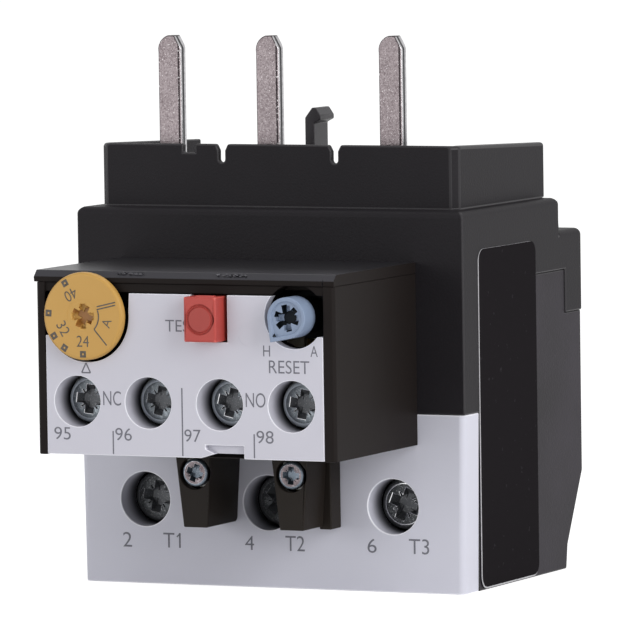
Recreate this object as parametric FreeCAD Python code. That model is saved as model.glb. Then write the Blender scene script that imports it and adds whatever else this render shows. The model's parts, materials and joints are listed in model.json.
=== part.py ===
import FreeCAD, Part
import math
import os

# Thermal overload relay for a three-pole contactor, in millimetres.
# x runs right from the middle plane, y runs back from the front face of the body,
# z runs up from the base. Every piece is moved by the same shift when it is saved,
# so that the saved origin lies at the bottom centre of the whole relay.

# How far a cut runs past a face, and how far two fused solids run into each other
past = 1.0
overlap = 0.5

# Body: upper housing, rear housing and terminal cover, stacked into one block
body_width = 60.0
body_depth = 33.8
body_top = 53.5
wall = 1.8
base_depth = 36.3
rear_overhang = 6.1
shoulder_drop = 4.8
toe_overhang = 0.5
toe_z = 3.3
heel_z = 13.6
seam_y = 8.0
seam_step_depth = 6.4
seam_high_drop = 10.4
seam_low_drop = 16.6
side_recess = 0.2
edge_round = 1.0

# Collar on top of the body, which the contactor sits over
collar_inset = 2.2
collar_front_y = 3.3
collar_wall = 1.1
collar_flat = 1.8
collar_height = 8.9
collar_slope = 1.0
collar_corner = 1.0
collar_round = 0.3
slot_xs = (-8.6, 9.0)
slot_mouth = 1.9
slot_flare = 0.9
slot_width = 1.0
slot_depth = 2.6
notch_x = -13.7
notch_width = 1.9
notch_depth = 1.25

# Light terminal cover across the bottom front
cover_top = 25.1
cover_depth = 4.85
cover_wall = 1.8
cover_side_wall = 1.5
cover_taper = 0.35
cover_collar_wall = 1.1
collar_flat = 1.8

# Poles, main terminals and clamp cages
pole_side_margin = 1.005
pole_offset = -0.5
terminal_z = 12.04
terminal_hole_r = 3.875
screw_head_r = 3.65
screw_head_y = 4.0
screw_head_thick = 2.0
screw_r = 3.0
screw_tip_gap = 0.1
screw_edge = 0.3
thread_gap = 0.05
cage_front_y = 10.3
cage_wall = 1.8
cage_side = 1.2
cage_inner_width = 8.4
cage_height = 9.0
bar_y = 14.1
bar_thick = 1.5
bar_width = 7.5
bar_neck_width = 5.0
bar_bottom = 5.5
bar_rise = 2.4
wire_room = 5.5
window_width = 8.4
window_gap = 0.1
shelf_bottom = 24.0
shelf_thick = 2.0
shelf_front_y = 12.0
shelf_depth = 16.0
partition_thick = 1.4
partition_front_y = 9.0
partition_depth = 24.0

# Cross recesses of the screws: arm length, slot width and depth
main_recess = (4.6, 1.2, 1.3)
aux_recess = (4.0, 1.0, 1.1)
feed_recess = (2.8, 0.7, 0.9)
knob_recess = (3.4, 0.9, 1.2)
thread_sides = 12
collar_sides = 8

# Contact prongs that plug into the contactor
prong_offsets = (1.43, -2.5, -2.73)
prong_width = 3.5
prong_thick = 2.0
prong_y = 7.0
prong_height = 24.1
prong_shoulder_width = 1.5
prong_shoulder_height = 2.4
prong_chamfer_width = 1.0
prong_chamfer_height = 1.8
prong_edge = 0.3
foot_drop = 8.4
foot_reach = 9.0
foot_margin = 0.4

# Bimetal strips with their heater windings, and the slides at their tips
bimetal_thick = 0.8
bimetal_width = 4.0
bimetal_y = 22.0
bimetal_tip_gap = 2.5
winding_turns = 7
winding_gap_x = 0.9
winding_gap_y = 0.6
ribbon_thick = 0.6
ribbon_height = 1.0
ribbon_overlap = 0.8
slide_drop = 5.7
slide_thick = 1.2
slide_spacing = 1.6
slide_width = 8.0
slide_end_gap = 0.8
slide_travel = 1.2
slide_play = 0.2
slide_notch_width = 5.0
slide_hole_half = 3.0
slide_rail = 2.0
finger_gap = 0.3
finger_width = 1.4
finger_y = 2.3
finger_depth = 1.5
guide_length = 3.0
guide_wall = 1.0

# Retaining hook that latches into the contactor
hook_x = -1.5
hook_y = 16.0
hook_depth = 4.7
hook_stem = 1.45
hook_nose = 1.0
hook_height = 13.5
hook_nose_drop = 2.2
hook_chamfer = 1.1
hook_shoulder = 1.43
hook_crown = 0.25
hook_nose_bevel = 0.5
hook_root_margin = 1.2
hook_root_thick = 2.0
fit_gap = 0.1

# Head: the setting and auxiliary contact module on the front
head_half_width = 22.8
head_front = 27.0
head_bottom = 20.8
head_top = 44.8
head_left_wall = 1.4
head_right_wall = 1.7
head_floor = 1.5
head_wall = 1.5
head_edge = 0.4
lid_thick = 1.6
lid_overhang = 0.3
lid_bevel = 0.9
lid_rim_thick = 1.0
lid_rim_depth = 0.8
band_recess = 0.3

# Light front plate of the head
plate_thick = 1.6
plate_bottom = 20.9
plate_middle_top = 43.4
plate_middle_left = -8.4
plate_left_top = 37.4
plate_right_top = 37.9
plate_gap = 0.05
recess_r = 4.4
notch_left = 2.3
notch_right = 8.9
notch_height = 1.8
notch_slope = 2.1
notch_tip_rise = 0.63
notch_back_rise = 1.26
notch_back = 0.7
button_slot_left = 0.95
button_slot_right = 6.6
button_slot_bottom = 36.9

# Auxiliary terminals in the head
aux_pitch = 10.93
aux_offset = -0.2
aux_z = 28.3
aux_hole_r = 3.55
aux_collar_wall = 0.8
aux_collar_length = 5.0
aux_head_r = 3.05
aux_head_depth = 3.8
aux_head_thick = 1.6
aux_screw_r = 1.75
aux_screw_length = 6.7
washer_size = 6.4
washer_thick = 1.0
aux_wire_room = 3.0
aux_plate_thick = 1.2
aux_plate_width = 5.5
aux_plate_bottom = 24.8
aux_shelf_z = 31.5
contact_thick = 1.0
contact_front_y = -10.0
contact_top = 37.0
contact_z = 35.5
contact_inset = 1.45
pad_r = 1.2
pad_thick = 0.6
entry_width = 5.8
entry_depth = 5.1
entry_front_gap = 1.0
seat_depth = 1.2
seat_rise = 1.4

# Bridges and their carrier
bridge_thick = 1.0
bridge_height = 3.0
bridge_half_length = 5.4
contact_gap = 0.05
contact_stroke = 1.5
carrier_bottom = 38.4
carrier_thick = 2.2
carrier_front_y = -11.0
carrier_back_y = -5.8
carrier_end_margin = 1.8
arm_width = 3.0
arm_wall = 0.95
arm_bottom = 33.4
keel_half_width = 1.2
keel_depth = 3.4
rib_thick = 0.8
rib_front_y = -11.0
rib_back_y = -4.0

# Trip lever, its pin under the lid, and the compensation strip
lever_x = -10.0
lever_y = -8.0
lever_z = 41.6
lever_thick = 1.5
lever_width = 2.4
lever_end_margin = 1.6
hub_r = 2.5
hub_bottom = 40.9
hub_top = 43.9
pin_r = 1.0
pin_gap = 0.05
drive_radius = 10.2
drive_pin_r = 0.8
drive_pin_bottom = 39.0
drive_slot_length = 2.6
drive_slot_gap = 0.3
boss_gap = 0.2
socket_width = 2.4
socket_back_y = -2.8
socket_bottom = 41.2
socket_height = 2.4
strip_thick = 0.6
strip_front_y = -5.6
strip_back_y = 3.6
strip_gap = 0.05
window_left = -12.6
window_right = -8.6
window_bottom = 40.6
window_top = 44.2

# Setting dial and cam
dial_x = -14.95
dial_z = 40.2
dial_r = 6.1
dial_thick = 1.2
dial_gap = 0.1
dial_bevel = 0.25
shaft_r = 2.0
cam_r = 3.6
cam_offset = 0.7
cam_thick = 2.0
cam_back_y = -12.0
star_arm = 3.4
star_width = 0.9
star_depth = 0.9

# Test button
button_x = 3.6
button_z = 40.16
button_width = 4.9
button_height = 6.2
button_front = 29.5
button_back_y = -24.0
button_gap = 0.3
button_round = 0.35
button_ring_r = 2.05
button_ring_width = 0.3
button_ring_depth = 0.2
stem_half_width = 1.3
stem_bottom = 41.0
stem_top = 43.1
nose_gap = 0.12
nose_chamfer = 1.0
test_spring_z = 38.9
test_spring_r = 1.4

# Reset knob and plunger
knob_x = 16.7
knob_z = 40.6
knob_r = 2.85
knob_tip = 4.15
knob_tip_angle = 234.0
knob_front = 29.5
knob_back_y = -26.0
knob_stem_r = 1.5
knob_stem_length = 4.0
knob_seat_gap = 0.1
knob_face_scale = 0.8
knob_face_depth = 0.3
knob_bore_extra = 0.3
plunger_r = 2.5
plunger_back_y = -12.0
flange_r = 3.4
flange_front_y = -21.2
flange_thick = 1.0
reset_spring_r = 2.95
guide_front_y = -16.4
guide_back_y = -15.0
guide_bottom = 37.4
guide_left = -1.0

# Springs
wire_size = 0.4
spring_turns = 5
spring_steps = 8

# Feed-through terminal blocks under the head
feed_pitch = 14.9
feed_front = 9.7
feed_top_left = 2.9
feed_top_right = 2.85
feed_bottom_left = 1.6
feed_bottom_right = 2.1
feed_bottom = 9.3
feed_round = 0.6
feed_screw_x = 0.2
feed_screw_z = 17.0
feed_screw_head_r = 2.0
feed_screw_head_thick = 1.2
feed_screw_edge = 0.2
feed_head_sink = 0.1
feed_recess_r = 2.3
feed_recess_depth = 3.9
feed_screw_r = 1.25
feed_shank = 5.0
feed_cavity_half = 1.85
feed_sill = 3.0
feed_lip = 0.4
feed_strip_rise = 4.0
feed_strip_gap = 0.2
feed_cavity_top = 19.4
feed_back_wall = 0.9
feed_clamp_half = 1.7
feed_clamp_height = 4.0
feed_clamp_thick = 0.8
feed_wire_room = 3.0
feed_strip_thick = 0.8
feed_strip_half = 1.6
feed_tail_half = 0.9
feed_tail_top = 27.0

# Values worked out from the sizes above
half_width = body_width / 2
rear_depth = base_depth + rear_overhang
toe_y = base_depth + toe_overhang
seam_step_y = rear_depth - seam_step_depth
rear_top = body_top - shoulder_drop
seam_high_z = body_top - seam_high_drop
seam_low_z = body_top - seam_low_drop
collar_width = body_width - 2 * collar_inset
collar_top = body_top + collar_height
hook_top = body_top + hook_height
hook_nose_z = hook_top - hook_nose_drop
prong_top = body_top + prong_height
pole_pitch = (body_width - 2 * pole_side_margin) / 3
pole_xs = [pole_offset + pole_pitch * (i - 1) for i in range(3)]
prong_xs = [x + offset for x, offset in zip(pole_xs, prong_offsets)]
aux_xs = [aux_offset + aux_pitch * (i - 1.5) for i in range(4)]
feed_xs = [-feed_pitch / 2, feed_pitch / 2]
bar_back = bar_y + bar_thick
bar_top = shelf_bottom + shelf_thick + bar_rise
ribbon_start = bar_top - ribbon_overlap
cage_back_inner = bar_back + wire_room
screw_head_back = screw_head_y + screw_head_thick
screw_tip = bar_y - screw_tip_gap
cage_outer_half = cage_inner_width / 2 + cage_side
rear_half = half_width - side_recess
rear_inner_half = rear_half - wall
upper_inner_half = half_width - wall
ceiling = body_top - wall
foot_bottom = ceiling - foot_drop
bimetal_top = ceiling - bimetal_tip_gap
slide_bottom = ceiling - slide_drop
slide_left = -upper_inner_half + slide_travel + slide_end_gap
slide_right = upper_inner_half - slide_end_gap
head_front_y = -head_front
head_front_wall_y = head_front_y + plate_thick
head_inner_y = head_front_wall_y + head_wall
head_left = -head_half_width + head_left_wall
head_right = head_half_width - head_right_wall
head_floor_top = head_bottom + head_floor
aux_head_y = head_front_y + aux_head_depth
washer_y = aux_head_y + aux_head_thick
aux_plate_y = washer_y + washer_thick + aux_wire_room
contact_back_y = contact_front_y + contact_thick
bridge_bottom = contact_z - bridge_height / 2
nc_bridge_x = (aux_xs[0] + aux_xs[1]) / 2
no_bridge_x = (aux_xs[2] + aux_xs[3]) / 2
nc_bridge_y = contact_back_y + pad_thick + contact_gap
no_bridge_y = contact_front_y - pad_thick - contact_gap - contact_stroke - bridge_thick
carrier_top = carrier_bottom + carrier_thick
button_front_y = -button_front
knob_front_y = -knob_front
feed_front_y = -feed_front
finger_x = lever_x + strip_thick / 2 + slide_travel + finger_gap
relay_front_y = min(button_front_y, knob_front_y)
origin_y = (relay_front_y + rear_depth) / 2


def box(x0, x1, y0, y1, z0, z1):
    """Block between two corners."""
    return Part.makeBox(x1 - x0, y1 - y0, z1 - z0, FreeCAD.Vector(x0, y0, z0))


def rod_y(x, z, radius, y0, y1):
    """Cylinder along y."""
    return Part.makeCylinder(radius, y1 - y0, FreeCAD.Vector(x, y0, z), FreeCAD.Vector(0, 1, 0))


def sided_rod(x, z, radius, y0, y1, sides):
    """Many-sided rod along y, with its flats outside the radius."""
    corner_r = radius / math.cos(math.pi / sides)
    outline = []
    for k in range(sides):
        angle = 2 * math.pi * (k + 0.5) / sides
        outline.append((x + corner_r * math.cos(angle), z + corner_r * math.sin(angle)))
    return prism_y(outline, y0, y1)


def thread_hole(x, z, radius, y0, y1):
    """Hole that clears a thread of this radius."""
    return sided_rod(x, z, radius + thread_gap, y0, y1, thread_sides)


def shank_rod(x, z, radius, y0, y1):
    """Screw shank whose corners lie on the radius."""
    return sided_rod(x, z, radius * math.cos(math.pi / thread_sides), y0, y1, thread_sides)


def rod_z(x, y, radius, z0, z1):
    """Cylinder along z."""
    return Part.makeCylinder(radius, z1 - z0, FreeCAD.Vector(x, y, z0))


def prism(points, path):
    """Solid from a closed outline, pushed along a path."""
    outline = Part.makePolygon(points + [points[0]])
    return Part.Face(outline).extrude(path)


def prism_x(outline, x0, x1):
    """Solid from a y-z outline between two x places."""
    return prism([FreeCAD.Vector(x0, y, z) for y, z in outline], FreeCAD.Vector(x1 - x0, 0, 0))


def prism_y(outline, y0, y1):
    """Solid from an x-z outline between two y places."""
    return prism([FreeCAD.Vector(x, y0, z) for x, z in outline], FreeCAD.Vector(0, y1 - y0, 0))


def fuse(shapes):
    """One solid from several."""
    return shapes[0].multiFuse(shapes[1:]).removeSplitter()


def edges_where(shape, test):
    """Edges whose middle point passes the test."""
    return [edge for edge in shape.Edges if test(edge.CenterOfMass)]


def near(a, b):
    """True where two places are the same within a hundredth."""
    return abs(a - b) < 0.01


def facet(*corners):
    """Flat face through three or more corners."""
    return Part.Face(Part.makePolygon(list(corners) + [corners[0]]))


def ribbon_solid(sections):
    """Solid strip through a row of four-cornered sections, with flat triangles between them."""
    faces = [facet(*sections[0]), facet(*sections[-1])]
    for near_end, far_end in zip(sections, sections[1:]):
        for k in range(4):
            a, b = near_end[k], near_end[(k + 1) % 4]
            c, d = far_end[(k + 1) % 4], far_end[k]
            faces.append(facet(a, b, c))
            faces.append(facet(a, c, d))
    return Part.Solid(Part.Shell(faces))


def cross_recess(x, z, face_y, arm, width, depth):
    """Driver recess: two crossed slots, cut back from a screw's face."""
    across = box(x - arm / 2, x + arm / 2, face_y - past, face_y + depth, z - width / 2, z + width / 2)
    upright = box(x - width / 2, x + width / 2, face_y - past, face_y + depth, z - arm / 2, z + arm / 2)
    return fuse([across, upright])


def spring_y(x, z, radius, y0, y1):
    """Square-wire compression spring along y between two seats."""
    half = wire_size / 2
    sections = []
    steps = spring_turns * spring_steps
    for step in range(steps + 1):
        angle = 2 * math.pi * step / spring_steps
        y = y0 + half + (y1 - y0 - wire_size) * step / steps
        corners = []
        for r, dy in ((radius - half, -half), (radius + half, -half), (radius + half, half), (radius - half, half)):
            corners.append(FreeCAD.Vector(x + r * math.cos(angle), y + dy, z + r * math.sin(angle)))
        sections.append(corners)
    return ribbon_solid(sections)


def save(shape, name):
    """Move a piece to the saved origin and write it."""
    placed = shape.copy()
    placed.translate(FreeCAD.Vector(0, -origin_y, 0))
    placed.exportStep("parts/" + name + ".step")


def collar_slot(x):
    """Slot down through the collar's front wall, flared at its mouth and round at its foot."""
    half = slot_width / 2
    bottom = collar_top - slot_depth
    outline = [
        (x - slot_mouth / 2, collar_top + past),
        (x - slot_mouth / 2, collar_top),
        (x - half, collar_top - slot_flare),
        (x - half, bottom + half),
        (x + half, bottom + half),
        (x + half, collar_top - slot_flare),
        (x + slot_mouth / 2, collar_top),
        (x + slot_mouth / 2, collar_top + past),
    ]
    back = collar_front_y + collar_wall + overlap
    straight = prism_y(outline, collar_front_y - overlap, back)
    foot = rod_y(x, bottom + half, half, collar_front_y - overlap, back)
    return straight.fuse(foot)


def collar():
    """U-shaped wall on the roof, open at the back, with slots in its front wall."""
    half = collar_width / 2
    outline = [
        (collar_front_y, body_top),
        (body_depth, body_top),
        (body_depth, collar_top - collar_slope),
        (collar_front_y + collar_flat, collar_top),
        (collar_front_y, collar_top),
    ]
    block = prism_x(outline, -half, half)
    corners = edges_where(block, lambda p: near(abs(p.x), half) and near(p.y, collar_front_y))
    block = block.makeChamfer(collar_corner, corners)
    rims = edges_where(block, lambda p: p.z > collar_top - collar_slope - 0.01 and abs(p.x) > half - collar_corner)
    block = block.makeChamfer(collar_round, rims)
    inside = half - collar_wall
    block = block.cut(box(-inside, inside, collar_front_y + collar_wall, body_depth + past, body_top - past, collar_top + past))
    for x in slot_xs:
        block = block.cut(collar_slot(x))
    notch = box(
        notch_x - notch_width / 2, notch_x + notch_width / 2,
        collar_front_y - past, collar_front_y + collar_wall + past,
        collar_top - notch_depth, collar_top + past,
    )
    return block.cut(notch)


def slide_guide(side):
    """Gate that hangs from the ceiling beside a side wall and holds both slides."""
    outer = side * upper_inner_half
    inner = side * (upper_inner_half - guide_length)
    x0, x1 = min(outer, inner), max(outer, inner)
    y0 = bimetal_y - slide_width / 2 - slide_play
    y1 = bimetal_y + slide_width / 2 + slide_play
    z0 = slide_bottom - slide_play
    z1 = slide_bottom + slide_spacing + slide_thick + slide_play
    gate = box(x0, x1, y0 - guide_wall, y1 + guide_wall, z0 - guide_wall, ceiling)
    return gate.cut(box(x0 - past, x1 + past, y0, y1, z0, z1))


def upper_housing():
    """Upper shell: body walls above the seam, roof, rear shoulder and collar."""
    outline = [
        (0, cover_top),
        (seam_y, cover_top),
        (seam_y, seam_high_z),
        (seam_step_y, seam_high_z),
        (seam_step_y, seam_low_z),
        (rear_depth, seam_low_z),
        (rear_depth, rear_top),
        (body_depth, rear_top),
        (body_depth, body_top),
        (0, body_top),
    ]
    shell = prism_x(outline, -half_width, half_width)

    def outside_edge(p):
        on_side = near(abs(p.x), half_width)
        on_top = near(p.z, body_top) or near(p.z, rear_top) or (near(p.y, rear_depth) and p.z > seam_low_z + past)
        across = near(p.x, 0) and ((near(p.z, body_top) and p.y < body_depth + past) or
                                   (near(p.z, rear_top) and near(p.y, rear_depth)))
        return (on_side and on_top) or across

    shell = shell.makeFillet(edge_round, edges_where(shell, outside_edge))
    hollow = [
        (wall, cover_top - past),
        (wall, ceiling),
        (body_depth - wall, ceiling),
        (body_depth - wall, rear_top - wall),
        (rear_depth - wall, rear_top - wall),
        (rear_depth - wall, cover_top - past),
    ]
    shell = shell.cut(prism_x(hollow, -upper_inner_half, upper_inner_half))
    shell = fuse([shell, collar(), slide_guide(-1), slide_guide(1)])
    for x in prong_xs:
        shell = shell.cut(box(
            x - prong_width / 2 - fit_gap, x + prong_width / 2 + fit_gap,
            prong_y - fit_gap, prong_y + prong_thick + fit_gap,
            ceiling - past, body_top + past,
        ))
    shell = shell.cut(box(
        hook_x - fit_gap, hook_x + hook_stem + fit_gap,
        hook_y - fit_gap, hook_y + hook_depth + fit_gap,
        ceiling - past, body_top + past,
    ))
    return shell.cut(box(window_left, window_right, -past, wall + past, window_bottom, window_top))


def rear_housing():
    """Lower shell with the wire windows, the partitions between poles and the terminal shelf."""
    outline = [
        (cover_depth, 0),
        (base_depth, 0),
        (toe_y, toe_z),
        (rear_depth, heel_z),
        (rear_depth, seam_low_z),
        (seam_step_y, seam_low_z),
        (seam_step_y, seam_high_z),
        (seam_y, seam_high_z),
        (seam_y, cover_top),
        (cover_depth, cover_top),
    ]
    shell = prism_x(outline, -rear_half, rear_half)
    rear_edges = edges_where(shell, lambda p: near(abs(p.x), rear_half) and p.y > base_depth + 0.1 and p.z < seam_low_z - past)
    shell = shell.makeFillet(edge_round, rear_edges)
    hollow = [
        (cover_depth - past, wall),
        (base_depth - wall, wall),
        (toe_y - wall, toe_z),
        (rear_depth - wall, heel_z),
        (rear_depth - wall, seam_high_z + past),
        (cover_depth - past, seam_high_z + past),
    ]
    shell = shell.cut(prism_x(hollow, -rear_inner_half, rear_inner_half))
    shelf_top = shelf_bottom + shelf_thick
    pieces = [shell]
    pieces.append(box(-rear_inner_half, rear_inner_half, shelf_front_y, shelf_front_y + shelf_depth, shelf_bottom, shelf_top))
    for left, right in zip(pole_xs, pole_xs[1:]):
        middle = (left + right) / 2
        pieces.append(box(
            middle - partition_thick / 2, middle + partition_thick / 2,
            partition_front_y, partition_front_y + partition_depth,
            wall, shelf_bottom,
        ))
    shell = fuse(pieces)
    for x in pole_xs:
        window = box(
            x - window_width / 2, x + window_width / 2,
            bar_back + window_gap, cage_back_inner + window_gap,
            -past, wall + past,
        )
        bar_slot = box(
            x - bar_neck_width / 2 - fit_gap, x + bar_neck_width / 2 + fit_gap,
            bar_y - fit_gap, bar_back + fit_gap,
            shelf_bottom - past, shelf_top + past,
        )
        strip_slot = box(
            x - bimetal_thick / 2 - strip_gap, x + bimetal_thick / 2 + strip_gap,
            bimetal_y - bimetal_width / 2 - strip_gap, bimetal_y + bimetal_width / 2 + strip_gap,
            shelf_bottom - past, shelf_top + past,
        )
        shell = shell.cut(window).cut(bar_slot).cut(strip_slot)
    return shell


def terminal_cover():
    """Light front cover with side wings and a round collar in front of each terminal screw."""
    bottom_half = half_width - cover_taper
    outline = [(-bottom_half, 0), (bottom_half, 0), (half_width, cover_top), (-half_width, cover_top)]
    cover = prism_y(outline, 0, cover_depth)
    corners = edges_where(cover, lambda p: near(p.y, 0) and abs(p.x) > bottom_half - 0.1)
    cover = cover.makeFillet(edge_round, corners)
    inside = bottom_half - cover_side_wall
    cover = cover.cut(box(-inside, inside, cover_wall, cover_depth + past, cover_side_wall, cover_top - cover_side_wall))
    collar_r = terminal_hole_r + cover_collar_wall
    collars = [sided_rod(x, terminal_z, collar_r, cover_wall / 2, cover_depth, collar_sides) for x in pole_xs]
    cover = fuse([cover] + collars)
    for x in pole_xs:
        cover = cover.cut(rod_y(x, terminal_z, terminal_hole_r, -past, cover_depth + past))
    return cover


def retaining_hook():
    """Hook with a nose to one side and a root plate under the roof."""
    right = hook_x + hook_stem
    tip = right + hook_nose
    outline = [
        (hook_x, ceiling),
        (hook_x, hook_top - hook_shoulder),
        (hook_x + hook_chamfer, hook_top),
        (right + hook_crown, hook_top),
        (tip, hook_top - hook_chamfer),
        (tip, hook_nose_z + hook_nose_bevel),
        (right, hook_nose_z),
        (right, ceiling),
    ]
    stem = prism_y(outline, hook_y, hook_y + hook_depth)
    root = box(
        hook_x - hook_root_margin, right + hook_root_margin,
        hook_y - hook_root_margin, hook_y + hook_depth + hook_root_margin,
        ceiling - hook_root_thick, ceiling,
    )
    return fuse([stem, root])


def contact_prong(prong_x, pole_x):
    """Flat pin with a shaped tip, standing on a foot that reaches back to the winding."""
    left = prong_x - prong_width / 2
    right = prong_x + prong_width / 2
    shoulder_z = prong_top - prong_shoulder_height
    start = FreeCAD.Vector(left, prong_y, shoulder_z)
    end = FreeCAD.Vector(left + prong_shoulder_width, prong_y, prong_top)
    bulge = FreeCAD.Vector(
        left + prong_shoulder_width * 0.3, prong_y, shoulder_z + prong_shoulder_height * 0.72,
    )
    points = [
        end,
        FreeCAD.Vector(right - prong_chamfer_width, prong_y, prong_top),
        FreeCAD.Vector(right, prong_y, prong_top - prong_chamfer_height),
        FreeCAD.Vector(right, prong_y, foot_bottom),
        FreeCAD.Vector(left, prong_y, foot_bottom),
        start,
    ]
    edges = [Part.Arc(start, bulge, end).toShape()]
    for a, b in zip(points, points[1:]):
        edges.append(Part.makeLine(a, b))
    pin = Part.Face(Part.Wire(edges)).extrude(FreeCAD.Vector(0, prong_thick, 0))
    uprights = edges_where(pin, lambda p: near(p.x, right) and near(p.z, (prong_top - prong_chamfer_height + foot_bottom) / 2))
    pin = pin.makeChamfer(prong_edge, uprights)
    lead_x = pole_x - bimetal_thick / 2 - winding_gap_x - ribbon_thick
    foot = box(
        min(left, lead_x - foot_margin), right - prong_edge,
        prong_y, prong_y + foot_reach,
        foot_bottom, foot_bottom + prong_thick,
    )
    return fuse([pin, foot])


def bimetal_strip(pole_x):
    """Flat bimetal strip, rooted in the shelf, with its tip in both slides."""
    return box(
        pole_x - bimetal_thick / 2, pole_x + bimetal_thick / 2,
        bimetal_y - bimetal_width / 2, bimetal_y + bimetal_width / 2,
        shelf_bottom, bimetal_top,
    )


def heater_winding(pole_x):
    """Flat ribbon wound round the bimetal, from the terminal bar up to the prong's foot."""
    in_x = bimetal_thick / 2 + winding_gap_x
    out_x = in_x + ribbon_thick
    in_y = bimetal_width / 2 + winding_gap_y
    out_y = in_y + ribbon_thick
    half = ribbon_height / 2
    last = 4 * winding_turns + 1
    rise = (foot_bottom - half - ribbon_start) / last

    def section(inner, outer, z):
        corners = ((inner, z - half), (outer, z - half), (outer, z + half), (inner, z + half))
        return [FreeCAD.Vector(pole_x + p[0], p[1], height) for p, height in corners]

    sections = [section((in_x, bar_back), (out_x, bar_back), ribbon_start)]
    for k in range(last + 1):
        sx = 1 if k % 4 in (0, 3) else -1
        sy = 1 if k % 4 in (0, 1) else -1
        inner = (sx * in_x, bimetal_y + sy * in_y)
        outer = (sx * out_x, bimetal_y + sy * out_y)
        sections.append(section(inner, outer, ribbon_start + rise * k))
    end_y = prong_y + foot_reach / 2
    sections.append(section((-in_x, end_y), (-out_x, end_y), foot_bottom - half))
    return ribbon_solid(sections)


def terminal_bar(pole_x):
    """Conductor through the clamp cage, shouldered under the shelf, up to the winding."""
    lower = box(pole_x - bar_width / 2, pole_x + bar_width / 2, bar_y, bar_back, bar_bottom, shelf_bottom)
    neck = box(pole_x - bar_neck_width / 2, pole_x + bar_neck_width / 2, bar_y, bar_back, shelf_bottom - past, bar_top)
    return fuse([lower, neck])


def clamp_cage(pole_x):
    """Box clamp: the screw threads through its front wall and its back wall pulls the wire."""
    z0 = terminal_z - cage_height / 2
    z1 = terminal_z + cage_height / 2
    cage = box(pole_x - cage_outer_half, pole_x + cage_outer_half, cage_front_y, cage_back_inner + cage_wall, z0, z1)
    uprights = edges_where(cage, lambda p: near(p.z, terminal_z))
    cage = cage.makeChamfer(cage_side / 2, uprights)
    inner_half = cage_inner_width / 2
    cage = cage.cut(box(pole_x - inner_half, pole_x + inner_half, cage_front_y + cage_wall, cage_back_inner, z0 - past, z1 + past))
    return cage.cut(thread_hole(pole_x, terminal_z, screw_r, cage_front_y - past, cage_front_y + cage_wall + past))


def terminal_screw(pole_x):
    """Cheese-head clamp screw with a cross recess."""
    head = rod_y(pole_x, terminal_z, screw_head_r, screw_head_y, screw_head_back)
    head = head.makeChamfer(screw_edge, edges_where(head, lambda p: near(p.y, screw_head_y)))
    shank = shank_rod(pole_x, terminal_z, screw_r, screw_head_back - overlap, screw_tip)
    screw = fuse([head, shank])
    return screw.cut(cross_recess(pole_x, terminal_z, screw_head_y, *main_recess))


def bimetal_notch(pole_x, z0):
    """Gap in a slide for a bimetal tip, with room for the slide's travel."""
    left = pole_x - bimetal_thick / 2 - slide_play
    right = pole_x + bimetal_thick / 2 + slide_play + slide_travel
    half = slide_notch_width / 2
    return box(left, right, bimetal_y - half, bimetal_y + half, z0 - past, z0 + slide_thick + past)


def slide_plate(z0):
    """Long plate across the three bimetal tips."""
    y0 = bimetal_y - slide_width / 2
    plate = box(slide_left, slide_right, y0, y0 + slide_width, z0, z0 + slide_thick)
    for x in pole_xs:
        plate = plate.cut(bimetal_notch(x, z0))
    return plate


def trip_slide():
    """Lower slide, with a finger forward and down to the compensation strip."""
    back = bimetal_y - slide_width / 2 + past
    arm = box(finger_x, finger_x + finger_width, finger_y, back, slide_bottom, slide_bottom + slide_thick)
    drop = box(
        finger_x, finger_x + finger_width, finger_y, finger_y + finger_depth,
        socket_bottom, slide_bottom + slide_thick,
    )
    return fuse([slide_plate(slide_bottom), arm, drop])


def differential_slide():
    """Upper slide, which answers to a phase that stays cool."""
    z0 = slide_bottom + slide_spacing
    plate = slide_plate(z0)
    y0 = bimetal_y - slide_width / 2
    for left, right in zip(pole_xs, pole_xs[1:]):
        middle = (left + right) / 2
        plate = plate.cut(box(
            middle - slide_hole_half, middle + slide_hole_half, y0 + slide_rail, y0 + slide_width - slide_rail,
            z0 - past, z0 + slide_thick + past,
        ))
    return plate


def aux_seat(x):
    """Moulded step that carries one auxiliary terminal plate."""
    half = aux_plate_width / 2
    under = box(x - half, x + half, aux_plate_y, aux_plate_y + aux_plate_thick + seat_depth, head_floor_top - overlap, aux_plate_bottom)
    behind_y = aux_plate_y + aux_plate_thick
    behind = box(x - half, x + half, behind_y, behind_y + seat_depth, head_floor_top - overlap, aux_plate_bottom + seat_rise)
    return under.fuse(behind)


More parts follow.
